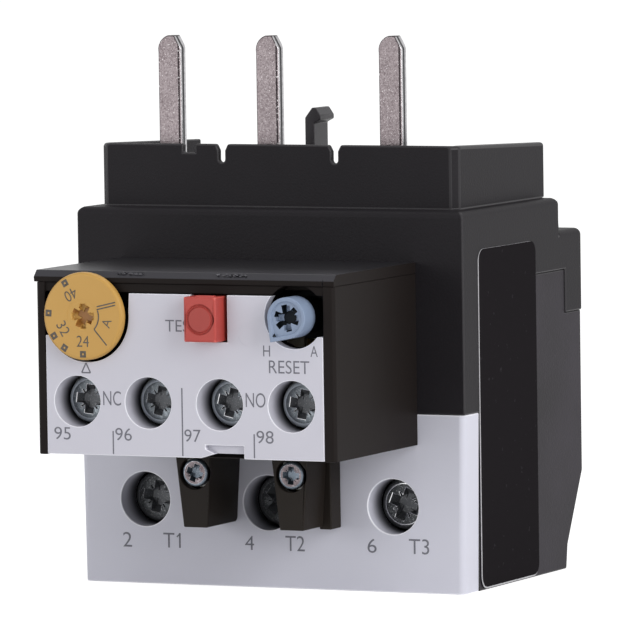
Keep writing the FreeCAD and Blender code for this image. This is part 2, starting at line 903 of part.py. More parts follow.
def head_case():
    """Black case of the head: side cheeks, floor, recessed front wall and inner guides."""
    case = box(-head_half_width, head_half_width, head_front_y, 0, head_bottom, head_top)
    uprights = edges_where(case, lambda p: near(p.y, head_front_y) and near(abs(p.x), head_half_width))
    case = case.makeChamfer(head_edge, uprights)
    plate_room = box(head_left, head_right, head_front_y - past, head_front_wall_y, head_bottom - past, plate_middle_top + fit_gap)
    band_room = box(head_left, head_right, head_front_y - past, head_front_y + band_recess, plate_middle_top, head_top + past)
    inside = box(head_left, head_right, head_inner_y, 1, head_floor_top, head_top + past)
    case = case.cut(plate_room).cut(band_room).cut(inside)
    guide = box(guide_left, head_right + overlap, guide_front_y, guide_back_y, guide_bottom, head_top - fit_gap)
    drive_x = lever_x + drive_radius
    ribs = []
    for side in (-1, 1):
        inner = drive_x + side * (keel_half_width + slide_play)
        outer = inner + side * rib_thick
        ribs.append(box(
            min(inner, outer), max(inner, outer), rib_front_y, rib_back_y,
            head_floor_top - overlap, carrier_bottom - fit_gap,
        ))
    case = fuse([case, guide] + ribs + [aux_seat(x) for x in aux_xs])
    for x in aux_xs:
        entry_front = head_inner_y + entry_front_gap
        collar_r = aux_hole_r + aux_collar_wall + fit_gap
        case = case.cut(sided_rod(x, aux_z, collar_r, head_front_wall_y - past, head_inner_y + past, collar_sides))
        case = case.cut(box(
            x - entry_width / 2, x + entry_width / 2, entry_front, entry_front + entry_depth,
            head_bottom - past, head_floor_top + 0.1,
        ))
    case = case.cut(rod_y(dial_x, dial_z, shaft_r + thread_gap, head_front_wall_y - past, head_inner_y + past))
    case = case.cut(box(
        button_x - button_width / 2 - button_gap, button_x + button_width / 2 + button_gap,
        head_front_wall_y - past, head_inner_y + past,
        button_z - button_height / 2 - button_gap, plate_middle_top + fit_gap,
    ))
    case = case.cut(rod_y(knob_x, knob_z, recess_r, head_front_y - past, head_inner_y + 0.1))
    case = case.cut(rod_y(knob_x, knob_z, plunger_r + thread_gap, guide_front_y - past, guide_back_y + past))
    case = case.cut(box(
        button_x - stem_half_width - fit_gap, button_x + stem_half_width + fit_gap,
        guide_front_y - past, guide_back_y + past,
        stem_bottom - fit_gap, stem_top + fit_gap,
    ))
    for x in feed_xs:
        case = case.cut(feed_tail_slot(x, head_bottom - past, head_floor_top + past))
    return case


def head_lid():
    """Lid with a bevelled front edge, a locating rim and the lever's pivot pin underneath."""
    x0 = -head_half_width - lid_overhang
    lid = box(x0, head_half_width, head_front_y, 0, head_top, head_top + lid_thick)
    front_edge = edges_where(lid, lambda p: near(p.y, head_front_y) and near(p.z, head_top + lid_thick))
    lid = lid.makeChamfer(lid_bevel, front_edge)
    rim_x0 = head_left + fit_gap
    rim_x1 = head_right - fit_gap
    rim_y0 = head_inner_y + fit_gap
    rim = box(rim_x0, rim_x1, rim_y0, -fit_gap, head_top - lid_rim_depth, head_top + overlap)
    rim = rim.cut(box(
        rim_x0 + lid_rim_thick, rim_x1 - lid_rim_thick, rim_y0 + lid_rim_thick, -fit_gap - lid_rim_thick,
        head_top - lid_rim_depth - past, head_top,
    ))
    rim = rim.cut(box(guide_left - overlap, head_right + past, guide_front_y - 0.2, guide_back_y + 0.2, 0, head_top))
    boss = rod_z(lever_x, lever_y, hub_r, hub_top + boss_gap, head_top + overlap)
    pin = rod_z(lever_x, lever_y, pin_r, hub_bottom, head_top + overlap)
    return fuse([lid, rim, boss, pin])


def front_plate():
    """Light plate: raised middle, button slot, knob recess, bottom notch and screw collars."""
    left = head_left + plate_gap
    right = head_right - plate_gap
    outline = [
        (left, plate_bottom),
        (notch_left, plate_bottom),
        (notch_left + notch_slope, plate_bottom + notch_tip_rise),
        (notch_left + notch_back, plate_bottom + notch_back_rise),
        (notch_left + notch_back, plate_bottom + notch_height),
        (notch_right, plate_bottom + notch_height),
        (notch_right, plate_bottom),
        (right, plate_bottom),
        (right, plate_right_top),
        (knob_x, plate_right_top),
        (knob_x, plate_middle_top),
        (button_slot_right, plate_middle_top),
        (button_slot_right, button_slot_bottom),
        (button_slot_left, button_slot_bottom),
        (button_slot_left, plate_middle_top),
        (plate_middle_left, plate_middle_top),
        (plate_middle_left - 0.3, plate_left_top),
        (left, plate_left_top),
    ]
    plate = prism_y(outline, head_front_y, head_front_wall_y)
    plate = plate.cut(rod_y(knob_x, knob_z, recess_r, head_front_y - past, head_front_wall_y + past))
    collars = []
    for x in aux_xs:
        collar_r = aux_hole_r + aux_collar_wall
        collars.append(sided_rod(x, aux_z, collar_r, head_front_wall_y - overlap, head_front_y + aux_collar_length, collar_sides))
    plate = fuse([plate] + collars)
    for x in aux_xs:
        plate = plate.cut(rod_y(x, aux_z, aux_hole_r, head_front_y - past, head_front_y + aux_collar_length + past))
    return plate


def aux_terminal(x, toward, pad_side):
    """Terminal plate, stepped back over a shelf to an upright contact with its pad."""
    half = aux_plate_width / 2
    plate_back = aux_plate_y + aux_plate_thick
    plate = box(x - half, x + half, aux_plate_y, plate_back, aux_plate_bottom, aux_shelf_z + contact_thick)
    shelf = box(x - half, x + half, aux_plate_y, contact_back_y, aux_shelf_z, aux_shelf_z + contact_thick)
    upright = box(x - half, x + half, contact_front_y, contact_back_y, aux_shelf_z, contact_top)
    pad_x = x + toward * contact_inset
    if pad_side > 0:
        pad = shank_rod(pad_x, contact_z, pad_r, contact_back_y - 0.2, contact_back_y + pad_thick)
    else:
        pad = shank_rod(pad_x, contact_z, pad_r, contact_front_y - pad_thick, contact_front_y + 0.2)
    terminal = fuse([plate, shelf, upright, pad])
    return terminal.cut(thread_hole(x, aux_z, aux_screw_r, aux_plate_y - past, plate_back + past))


def aux_screw(x):
    """Cheese-head screw of an auxiliary terminal."""
    head = rod_y(x, aux_z, aux_head_r, aux_head_y, washer_y)
    head = head.makeChamfer(screw_edge, edges_where(head, lambda p: near(p.y, aux_head_y)))
    shank = shank_rod(x, aux_z, aux_screw_r, washer_y - overlap, washer_y + aux_screw_length)
    screw = fuse([head, shank])
    return screw.cut(cross_recess(x, aux_z, aux_head_y, *aux_recess))


def aux_washer(x):
    """Square clamp washer with its two wire edges turned back."""
    half = washer_size / 2
    plate = box(x - half, x + half, washer_y, washer_y + washer_thick, aux_z - half, aux_z + half)
    uprights = edges_where(plate, lambda p: near(p.y, washer_y + washer_thick / 2))
    plate = plate.makeChamfer(washer_thick / 2, uprights)
    return plate.cut(thread_hole(x, aux_z, aux_screw_r, washer_y - past, washer_y + washer_thick + past))


def bridge(x, y):
    """Flat contact bridge across two fixed pads."""
    return box(
        x - bridge_half_length, x + bridge_half_length, y, y + bridge_thick,
        bridge_bottom, bridge_bottom + bridge_height,
    )


def bridge_pocket(x, y):
    """Room for a bridge in its carrier arm."""
    gap = contact_gap
    return box(
        x - bridge_half_length, x + bridge_half_length, y - gap, y + bridge_thick + gap,
        bridge_bottom - gap, bridge_bottom + bridge_height + gap,
    )


def contact_carrier():
    """Sliding carrier with an arm for each bridge, a keel between the ribs and a drive slot."""
    drive_x = lever_x + drive_radius
    beam_left = nc_bridge_x - carrier_end_margin
    beam_right = no_bridge_x + carrier_end_margin
    beam = box(beam_left, beam_right, carrier_front_y, carrier_back_y, carrier_bottom, carrier_top)
    pieces = [beam]
    for x, y in ((nc_bridge_x, nc_bridge_y), (no_bridge_x, no_bridge_y)):
        front = y - contact_gap - arm_wall
        back = y + bridge_thick + contact_gap + arm_wall
        pieces.append(box(x - arm_width / 2, x + arm_width / 2, front, back, arm_bottom, carrier_top))
        bracket_front = min(front, carrier_front_y)
        pieces.append(box(x - arm_width / 2, x + arm_width / 2, bracket_front, carrier_back_y, carrier_bottom, carrier_top))
    pieces.append(box(
        drive_x - keel_half_width, drive_x + keel_half_width, carrier_front_y + past, carrier_back_y,
        carrier_bottom - keel_depth, carrier_top,
    ))
    carrier = fuse(pieces)
    half = drive_slot_length / 2
    width = drive_pin_r + fit_gap
    carrier = carrier.cut(box(
        drive_x - half, drive_x + half, lever_y - width, lever_y + width,
        drive_pin_bottom - drive_slot_gap, carrier_top + past,
    ))
    carrier = carrier.cut(bridge_pocket(nc_bridge_x, nc_bridge_y))
    return carrier.cut(bridge_pocket(no_bridge_x, no_bridge_y))


def trip_lever():
    """Lever on the lid's pin, pushed by the test button, that drives the carrier."""
    hub = rod_z(lever_x, lever_y, hub_r, hub_bottom, hub_top)
    half = lever_width / 2
    arm_end = button_x + lever_end_margin
    arm = box(lever_x, arm_end, lever_y - half, lever_y + half, lever_z, lever_z + lever_thick)
    socket = box(
        lever_x - socket_width / 2, lever_x + socket_width / 2, lever_y, socket_back_y,
        socket_bottom, socket_bottom + socket_height,
    )
    drive = rod_z(lever_x + drive_radius, lever_y, drive_pin_r, drive_pin_bottom, lever_z + overlap)
    lever = fuse([hub, arm, socket, drive])
    lever = lever.cut(rod_z(lever_x, lever_y, pin_r + pin_gap, hub_bottom - past, hub_top + past))
    return lever.cut(box(
        lever_x - strip_thick / 2 - strip_gap, lever_x + strip_thick / 2 + strip_gap,
        strip_front_y, socket_back_y + past, socket_bottom - past, socket_bottom + socket_height + past,
    ))


def compensation_strip():
    """Bimetal strip in the lever's socket, reaching back to the trip slide's finger."""
    return box(
        lever_x - strip_thick / 2, lever_x + strip_thick / 2, strip_front_y, strip_back_y,
        socket_bottom, socket_bottom + socket_height,
    )


def setting_dial():
    """Round setting dial with a star recess for a screwdriver."""
    front = head_front_y - dial_gap - dial_thick
    back = head_front_y - dial_gap
    disc = rod_y(dial_x, dial_z, dial_r, front, back)
    disc = disc.makeChamfer(dial_bevel, edges_where(disc, lambda p: near(p.y, front)))
    return disc.cut(cross_recess(dial_x, dial_z, front, star_arm, star_width, star_depth))


def setting_cam():
    """Shaft behind the dial with the eccentric cam at its end."""
    shaft = rod_y(dial_x, dial_z, shaft_r, head_front_y - dial_gap, cam_back_y)
    cam = rod_y(dial_x + cam_offset, dial_z, cam_r, cam_back_y - cam_thick, cam_back_y)
    return fuse([shaft, cam])


def test_button():
    """Square push button with a ring in its face and a stem back to the lever."""
    left = button_x - button_width / 2
    right = button_x + button_width / 2
    bottom = button_z - button_height / 2
    top = button_z + button_height / 2
    cap = box(left, right, button_front_y, button_back_y, bottom, top)
    cap = cap.makeFillet(button_round, edges_where(cap, lambda p: near(p.y, button_front_y)))
    outer = rod_y(button_x, button_z, button_ring_r, button_front_y - past, button_front_y + button_ring_depth)
    inner = rod_y(button_x, button_z, button_ring_r - button_ring_width, button_front_y - 2, button_front_y + past)
    cap = cap.cut(outer.cut(inner))
    stem_end = lever_y - lever_width / 2 - nose_gap
    stem = box(
        button_x - stem_half_width, button_x + stem_half_width, button_back_y - overlap, stem_end,
        stem_bottom, stem_top,
    )
    nose_edges = edges_where(stem, lambda p: near(p.y, stem_end) and near(abs(p.x - button_x), stem_half_width))
    stem = stem.makeChamfer(nose_chamfer, nose_edges)
    return fuse([cap, stem])


def knob_profile(scale):
    """Teardrop outline: a circle with two tangents that meet at the tip."""
    radius = knob_r * scale
    tip = knob_tip * scale
    tip_angle = math.radians(knob_tip_angle)
    spread = math.acos(radius / tip)

    def at(r, angle):
        return FreeCAD.Vector(knob_x + r * math.cos(angle), knob_front_y, knob_z + r * math.sin(angle))

    first = at(radius, tip_angle + spread)
    second = at(radius, tip_angle - spread)
    far = at(radius, tip_angle + math.pi)
    point = at(tip, tip_angle)
    edges = [Part.Arc(first, far, second).toShape(), Part.makeLine(second, point), Part.makeLine(point, first)]
    return Part.Face(Part.Wire(edges))


def reset_knob():
    """Teardrop knob with a sunk face, a star recess and a stem in the plunger."""
    body = knob_profile(1).extrude(FreeCAD.Vector(0, knob_back_y - knob_front_y, 0))
    stem = rod_y(knob_x, knob_z, knob_stem_r, knob_back_y - overlap, knob_back_y + knob_stem_length)
    knob = fuse([body, stem])
    knob = knob.cut(knob_profile(knob_face_scale).extrude(FreeCAD.Vector(0, knob_face_depth, 0)))
    return knob.cut(cross_recess(knob_x, knob_z, knob_front_y + knob_face_depth, *knob_recess))


def reset_plunger():
    """Hollow-nosed plunger behind the knob, with a flange for its spring."""
    front = knob_back_y + knob_seat_gap
    barrel = rod_y(knob_x, knob_z, plunger_r, front, plunger_back_y)
    flange = rod_y(knob_x, knob_z, flange_r, flange_front_y, flange_front_y + flange_thick)
    plunger = fuse([barrel, flange])
    return plunger.cut(rod_y(knob_x, knob_z, knob_stem_r + thread_gap, front - past, knob_back_y + knob_stem_length + knob_bore_extra))


def feed_tail_slot(x, z0, z1):
    """Slot for the tail of a feed strip."""
    strip_y = feed_strip_y()
    middle = x + feed_screw_x
    return box(
        middle - feed_tail_half - fit_gap, middle + feed_tail_half + fit_gap,
        strip_y - fit_gap, strip_y + feed_strip_thick + fit_gap, z0, z1,
    )


def feed_clamp_y():
    """Front of the clamp plate, right behind the screw's head."""
    return feed_front_y + feed_head_sink + feed_screw_head_thick


def feed_strip_y():
    """Front of the fixed strip, a wire's room behind the clamp plate."""
    return feed_clamp_y() + feed_clamp_thick + feed_wire_room


def feed_block(x):
    """Tapered black block, open below for the wire, with a sunk screw hole in front."""
    outline = [
        (x - feed_bottom_left, feed_bottom),
        (x + feed_bottom_right, feed_bottom),
        (x + feed_top_right, head_bottom),
        (x - feed_top_left, head_bottom),
    ]
    block = prism_y(outline, feed_front_y, 0)
    lower = edges_where(block, lambda p: near(p.y, 0) and near(p.z, feed_bottom))
    block = block.makeFillet(feed_round, lower)
    middle = x + feed_screw_x
    cavity = box(
        middle - feed_cavity_half, middle + feed_cavity_half, feed_clamp_y(), -feed_back_wall,
        feed_bottom + feed_sill, feed_cavity_top,
    )
    mouth_half = feed_cavity_half - feed_lip
    mouth = box(
        middle - mouth_half, middle + mouth_half, feed_clamp_y(), -feed_back_wall,
        feed_bottom - past, feed_bottom + feed_sill + past,
    )
    recess = rod_y(middle, feed_screw_z, feed_recess_r, feed_front_y - past, feed_front_y + feed_recess_depth)
    block = block.cut(cavity).cut(mouth).cut(recess)
    return block.cut(feed_tail_slot(x, feed_cavity_top - past, head_bottom + past))


def feed_screw(x):
    """Small clamp screw of a feed-through block."""
    middle = x + feed_screw_x
    front = feed_front_y + feed_head_sink
    head = rod_y(middle, feed_screw_z, feed_screw_head_r, front, feed_clamp_y())
    head = head.makeChamfer(feed_screw_edge, edges_where(head, lambda p: near(p.y, front)))
    shank = shank_rod(middle, feed_screw_z, feed_screw_r, feed_clamp_y() - overlap, feed_clamp_y() + feed_shank)
    screw = fuse([head, shank])
    return screw.cut(cross_recess(middle, feed_screw_z, front, *feed_recess))


def feed_clamp(x):
    """Clamp plate under the screw's head."""
    middle = x + feed_screw_x
    half = feed_clamp_height / 2
    front = feed_clamp_y()
    plate = box(
        middle - feed_clamp_half, middle + feed_clamp_half, front, front + feed_clamp_thick,
        feed_screw_z - half, feed_screw_z + half,
    )
    return plate.cut(thread_hole(middle, feed_screw_z, feed_screw_r, front - past, front + feed_clamp_thick + past))


def feed_strip(x):
    """Fixed conductor that the screw threads into, with a tail up into the head."""
    middle = x + feed_screw_x
    front = feed_strip_y()
    back = front + feed_strip_thick
    plate = box(
        middle - feed_strip_half, middle + feed_strip_half, front, back,
        feed_bottom + feed_strip_rise, feed_cavity_top - feed_strip_gap,
    )
    tail = box(middle - feed_tail_half, middle + feed_tail_half, front, back, feed_cavity_top - past, feed_tail_top)
    strip = fuse([plate, tail])
    return strip.cut(thread_hole(middle, feed_screw_z, feed_screw_r, front - past, back + past))


def build():
    """Every piece by name."""
    pieces = {
        "upper_housing": upper_housing(),
        "rear_housing": rear_housing(),
        "terminal_cover": terminal_cover(),
        "retaining_hook": retaining_hook(),
        "trip_slide": trip_slide(),
        "differential_slide": differential_slide(),
        "head_case": head_case(),
        "head_lid": head_lid(),
        "front_plate": front_plate(),
        "contact_carrier": contact_carrier(),
        "nc_bridge": bridge(nc_bridge_x, nc_bridge_y),
        "no_bridge": bridge(no_bridge_x, no_bridge_y),
        "trip_lever": trip_lever(),
        "compensation_strip": compensation_strip(),
        "setting_dial": setting_dial(),
        "setting_cam": setting_cam(),
        "test_button": test_button(),
        "test_spring": spring_y(button_x, test_spring_z, test_spring_r, button_back_y, guide_front_y),
        "reset_knob": reset_knob(),
        "reset_plunger": reset_plunger(),
        "reset_spring": spring_y(knob_x, knob_z, reset_spring_r, flange_front_y + flange_thick, guide_front_y),
    }
    for i, (pole_x, prong_x) in enumerate(zip(pole_xs, prong_xs), start=1):
        pieces["contact_prong_%d" % i] = contact_prong(prong_x, pole_x)
        pieces["heater_winding_%d" % i] = heater_winding(pole_x)
        pieces["bimetal_strip_%d" % i] = bimetal_strip(pole_x)
        pieces["terminal_bar_%d" % i] = terminal_bar(pole_x)
        pieces["clamp_cage_%d" % i] = clamp_cage(pole_x)
        pieces["terminal_screw_%d" % i] = terminal_screw(pole_x)
    for i, x in enumerate(aux_xs):
        toward = 1 if i % 2 == 0 else -1
        pad_side = 1 if i < 2 else -1
        number = i + 1
        pieces["aux_terminal_%d" % number] = aux_terminal(x, toward, pad_side)
        pieces["aux_washer_%d" % number] = aux_washer(x)
        pieces["aux_screw_%d" % number] = aux_screw(x)
    for i, x in enumerate(feed_xs, start=1):
        pieces["feed_block_%d" % i] = feed_block(x)
        pieces["feed_screw_%d" % i] = feed_screw(x)
        pieces["feed_clamp_%d" % i] = feed_clamp(x)
        pieces["feed_strip_%d" % i] = feed_strip(x)
    return pieces


os.makedirs("parts", exist_ok=True)
for name, shape in build().items():
    save(shape, name)
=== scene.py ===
import bmesh
import bpy
import json
import math
import random
from mathutils import Matrix, Vector


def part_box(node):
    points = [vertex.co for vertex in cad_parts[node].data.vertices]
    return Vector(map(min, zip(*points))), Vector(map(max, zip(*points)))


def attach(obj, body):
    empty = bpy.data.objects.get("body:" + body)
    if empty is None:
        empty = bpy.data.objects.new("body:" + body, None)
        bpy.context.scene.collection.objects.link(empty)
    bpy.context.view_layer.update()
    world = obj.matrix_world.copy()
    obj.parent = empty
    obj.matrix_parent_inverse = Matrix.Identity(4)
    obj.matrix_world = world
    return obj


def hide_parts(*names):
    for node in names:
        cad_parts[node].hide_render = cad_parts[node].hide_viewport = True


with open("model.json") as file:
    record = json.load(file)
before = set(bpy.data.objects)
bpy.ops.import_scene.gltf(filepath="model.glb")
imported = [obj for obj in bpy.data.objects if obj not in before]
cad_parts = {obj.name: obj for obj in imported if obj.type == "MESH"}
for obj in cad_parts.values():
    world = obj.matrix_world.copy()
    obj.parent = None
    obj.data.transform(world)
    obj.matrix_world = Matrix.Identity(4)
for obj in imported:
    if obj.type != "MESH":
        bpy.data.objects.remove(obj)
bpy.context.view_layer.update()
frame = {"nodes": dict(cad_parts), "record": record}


# Upper and rear housing. Two black glass-filled shells with a satin, spark-eroded surface.
# They are moulded, meet in a stepped seam on each side, and their outer edges are softly rounded.
MM = 0.001
EDGE_SEGMENTS = 3
CREASE = math.radians(28)
SMOOTH = math.radians(50)
FLAT = math.radians(0.5)
WELD = 0.002 * MM
HOUSING_EDGE = 0.22 * MM
FLOW_SCALE = 70.0
GRAIN_SCALE = 3200.0
SPECK_SCALE = 1500.0
SPECK_SHARE = 0.35
GRAIN_DEPTH = 0.00006


def shade(code):
    """Linear colour of a six-digit screen colour."""
    levels = [int(code[i:i + 2], 16) / 255 for i in (0, 2, 4)]
    linear = [v / 12.92 if v <= 0.04045 else ((v + 0.055) / 1.055) ** 2.4 for v in levels]
    return (*linear, 1.0)


class Wire:
    """One shader socket. Sums, products and comparisons written on it add Math nodes."""

    def __init__(self, nodes, socket):
        self.nodes = nodes
        self.socket = socket

    def maths(self, operation, first, second):
        return self.nodes.node("ShaderNodeMath", {"operation": operation}, {0: first, 1: second})

    def __add__(self, other):
        return self.maths("ADD", self, other)

    def __radd__(self, other):
        return self.maths("ADD", other, self)

    def __sub__(self, other):
        return self.maths("SUBTRACT", self, other)

    def __rsub__(self, other):
        return self.maths("SUBTRACT", other, self)

    def __mul__(self, other):
        return self.maths("MULTIPLY", self, other)

    def __rmul__(self, other):
        return self.maths("MULTIPLY", other, self)

    def __gt__(self, other):
        return self.maths("GREATER_THAN", self, other)


class Nodes:
    """A node tree. node() adds any node, its settings first and then its sockets."""

    def __init__(self, tree):
        self.tree = tree

    def plug(self, socket, value):
        if isinstance(value, Wire):
            self.tree.links.new(value.socket, socket)
        else:
            socket.default_value = value

    def node(self, kind, settings, sockets, out=0):
        made = self.tree.nodes.new(kind)
        for key, value in settings.items():
            setattr(made, key, value)
        for key, value in sockets.items():
            self.plug(made.inputs[key], value)
        return Wire(self, made.outputs[out])

    def clamp(self, value):
        return self.node("ShaderNodeClamp", {}, {"Value": value})

    def mix(self, factor, first, second):
        sockets = {0: factor, 6: first, 7: second}
        return self.node("ShaderNodeMix", {"data_type": "RGBA"}, sockets, 2)


class Finish(Nodes):
    """A material of one Principled shader, patterned on Object coordinates. paint() fills it."""

    def __init__(self, name, **fixed):
        self.material = bpy.data.materials.new(name)
        self.material.use_nodes = True
        super().__init__(self.material.node_tree)
        self.shader = self.tree.nodes["Principled BSDF"]
        self.place = self.node("ShaderNodeTexCoord", {}, {}, "Object")
        self.paint(**fixed)

    def along(self, axis):
        return self.node("ShaderNodeSeparateXYZ", {}, {0: self.place}, axis)

    def noise(self, scale, detail=2.0, place=None):
        sockets = {"Vector": place or self.place, "Scale": scale, "Detail": detail}
        return self.node("ShaderNodeTexNoise", {}, sockets)

    def bump(self, height, strength, distance):
        sockets = {"Height": height, "Strength": strength, "Distance": distance}
        return self.node("ShaderNodeBump", {}, sockets)

    def paint(self, **values):
        for socket, value in values.items():
            self.plug(self.shader.inputs[socket.replace("_", " ")], value)
        return self.material


def moulded(name, colour, light, roughness, grain=0.25, dust=0.76, level=0.5, well=None):
    """Moulded plastic: flow mottling between two close colours, fine grain and a few pale specks.

    A painted shade darkens the plastic from one depth to another behind a face, as far out as
    its reach to both sides.
    """
    finish = Finish(name, Specular_IOR_Level=level)
    flow = finish.noise(FLOW_SCALE, 3.0)
    grains = finish.noise(GRAIN_SCALE, 2.0)
    specks = finish.noise(SPECK_SCALE, 1.0) > dust
    tone = finish.mix(flow, shade(colour), shade(light))
    tone = finish.mix(specks * SPECK_SHARE, tone, shade(light))
    # Painted shade: the colour turns to the dark tone with depth behind the face.
    if well:
        start, end, reach, dark = well
        across = finish.along("X")
        span = {"Value": finish.along("Y"), "From Min": start, "From Max": end}
        deep = finish.node("ShaderNodeMapRange", {"interpolation_type": "SMOOTHSTEP"}, span)
        within = (reach - across) * (reach + across) > 0
        tone = finish.mix(deep * within, tone, shade(dark))
    rough = roughness - 0.06 + flow * 0.08 + grains * 0.06
    bump = finish.bump(grains + flow * 0.6, grain, GRAIN_DEPTH)
    return finish.paint(Base_Color=tone, Roughness=rough, Normal=bump)


def mesh_of(shape, name):
    """A mesh made from a bmesh, which is freed."""
    mesh = bpy.data.meshes.new(name)
    shape.to_mesh(mesh)
    shape.free()
    return mesh


def placed(name, data):
    """A new object in the scene, at the origin."""
    made = bpy.data.objects.new(name, data)
    bpy.context.scene.collection.objects.link(made)
    return made


def mark_creases(shape):
    """Marks the edges that stay sharp: the open ones and the strongly bent ones."""
    for edge in shape.edges:
        edge.smooth = len(edge.link_faces) == 2 and edge.calc_face_angle(0.0) < SMOOTH


def even_out(made):
    """Evens the normals between the sharp edges."""
    even = made.modifiers.new("even_normals", "WEIGHTED_NORMAL")
    even.keep_sharp = True


def piece(name, shape, material, body, *nodes):
    """A finished piece from a bmesh, riding on a body, in the stead of these nodes."""
    for face in shape.faces:
        face.smooth = True
    mark_creases(shape)
    made = placed(name, mesh_of(shape, name))
    made.data.materials.append(material)
    even_out(made)
    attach(made, body)
    if nodes:
        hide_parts(*nodes)
    return made


def node_shape(node):
    """The node's own solid as a bmesh of loose triangles."""
    shape = bmesh.new()
    shape.from_mesh(frame["nodes"][node].data)
    return shape


def cleaned(shape):
    """The bmesh with its doubles merged and each flat face made one."""
    bmesh.ops.remove_doubles(shape, verts=shape.verts, dist=WELD)
    bmesh.ops.dissolve_limit(shape, angle_limit=FLAT, verts=shape.verts, edges=shape.edges)
    return shape


def round_edges(shape, width, slot=-1):
    """Rounds the sharp edges of a bmesh. The new faces take this material slot."""
    sharp = []
    for edge in shape.edges:
        if len(edge.link_faces) == 2 and edge.calc_face_angle(0.0) > CREASE:
            sharp.append(edge)
    bmesh.ops.bevel(
        shape, geom=sharp, offset=width, offset_type="OFFSET", segments=EDGE_SEGMENTS,
        profile=0.5, affect="EDGES", clamp_overlap=False, material=slot,
    )
    return shape


def eased(node, width, material, body="housing", edge_tone=None):
    """The node's solid with its sharp edges rounded, in an edge tone if given, standing for the
    node.
    """
    shape = round_edges(cleaned(node_shape(node)), width, 1 if edge_tone else -1)
    low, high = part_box(node)
    for corner in shape.verts:
        for i in range(3):
            corner.co[i] = min(max(corner.co[i], low[i]), high[i])
    made = piece(node + "_piece", shape, material, body, node)
    if edge_tone:
        made.data.materials.append(edge_tone)
    return made


slot_of = {row["node"]: row["material_slot"] for row in frame["record"]["subparts"]}
black_shell = moulded("black_shell", "19171a", "232124", 0.5, 0.5, 0.74, 0.1)
# The rear shell's wide, soft mottling is partly dust and partly a painted sheen of lighter
# patches.
black_foot_dust_and_sheen = moulded("black_foot_dust_and_sheen", "0f0d0e", "37333a", 0.5, 0.5, 0.72, 0.13)
# Painted highlight: the housings' rounded edges are a little lighter than the shells.
black_edge_highlight = moulded("black_edge_highlight", "201e21", "29272a", 0.4, level=0.25)
eased("upper_housing", HOUSING_EDGE, black_shell, edge_tone=black_edge_highlight)
eased("rear_housing", HOUSING_EDGE, black_foot_dust_and_sheen, edge_tone=black_edge_highlight)


# Terminal cover. The light grey moulding across the bottom front, with a round well at each
# main terminal. It clips over the front of the rear shell and wraps round both sides.
COVER_EDGE = 0.16 * MM
# Painted shade: the cover darkens inside its terminal wells, from 0.8 mm to 4.4 mm behind its
# face.
COVER_WELL_SHADE = (0.8, 4.4, 29.0, "47474c")


def painted_shade_behind(face_y, start, end, reach, dark):
    """A moulding's painted shade, from its depths behind a face and its reach, in millimetres."""
    return face_y + start * MM, face_y + end * MM, reach * MM, dark


cover_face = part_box("terminal_cover")[0].y
cover_well_shade = painted_shade_behind(cover_face, *COVER_WELL_SHADE)
cover_grey = moulded("cover_grey", "c3c3ce", "cacad5", 0.5, 0.12, 0.79, 0.25, cover_well_shade)
# Painted highlight: the rounded edges of the cover and the plate are lit almost white.
white_edge_highlight = moulded("white_edge_highlight", "dedee6", "eaeaf1", 0.35, 0.1, 0.8, 0.4)
eased("terminal_cover", COVER_EDGE, cover_grey, edge_tone=white_edge_highlight)


# Contact prongs. Three flat copper pins, tinned to a speckled satin grey, with a rounded
# shoulder and a chamfered corner. Their sheared sides are bright, but for the torn middle.
# They stand in the roof and plug into the contactor.
PRONG_EDGE = 0.14 * MM
PRONG_SIDE = 0.8
PRONG_TEAR = (1.05 * MM, 1.65 * MM, "2b2b2e")
DRAWN_SCALE = 1800.0
DRAWN_STRETCH = (1.0, 1.0, 0.12)
CLOUD_SCALE = 150.0
GLINT_SCALE = 1.15
GLINT_LEVEL = 0.69
GLINT_SHARE = 0.5
PLATING_DEPTH = 0.00005


def tinned(name, dark, light, roughness, speckle, band=None):
    """Plated metal with a fine crystalline speckle, painted glints and vertical drawing marks.

    A band gives the metal another colour between two depths.
    """
    finish = Finish(name, Metallic=1.0)
    stretch = {"Vector": finish.place, "Scale": DRAWN_STRETCH}
    drawn = finish.noise(DRAWN_SCALE, 2.0, finish.node("ShaderNodeMapping", {}, stretch))
    crystals = finish.noise(speckle, 3.0)
    cloud = finish.noise(CLOUD_SCALE, 2.0)
    glints = finish.noise(speckle * GLINT_SCALE, 1.0) > GLINT_LEVEL
    factor = finish.clamp(crystals * 1.3 - 0.3 + cloud * 0.3)
    tone = finish.mix(factor, shade(dark), shade(light))
    # Painted glints: near-white points mixed into the colour.
    tone = finish.mix(glints * GLINT_SHARE, tone, shade("eceaea"))
    if band:
        start, end, torn = band
        depth = finish.along("Y")
        within = (depth > start) * (1 - (depth > end))
        tone = finish.mix(within, tone, shade(torn))
    rough = roughness + crystals * 0.14
    bump = finish.bump(crystals + drawn * 0.4, 0.3, PLATING_DEPTH)
    return finish.paint(Base_Color=tone, Roughness=rough, Normal=bump)


tin = tinned("tinned_copper", "43383b", "9b9294", 0.3, 4600.0)
cut_tin = tinned("sheared_copper", "8f8c8e", "d2d1d3", 0.24, 2200.0, PRONG_TEAR)
burr_tin = tinned("rolled_burr", "2c2729", "4a4345", 0.4, 2200.0)
for number in (1, 2, 3):
    prong = eased("contact_prong_%d" % number, PRONG_EDGE, tin, edge_tone=burr_tin)
    prong.data.materials.append(cut_tin)
    for face in prong.data.polygons:
        if abs(face.normal.x) > PRONG_SIDE:
            face.material_index = 2


# Retaining hook. A springy black tongue with a nose to one side, which snaps into the
# contactor. It stands in the roof behind the middle prong.
HOOK_EDGE = 0.16 * MM
eased("retaining_hook", HOOK_EDGE, moulded("hook_black", "2a282b", "343236", 0.4, level=0.3))


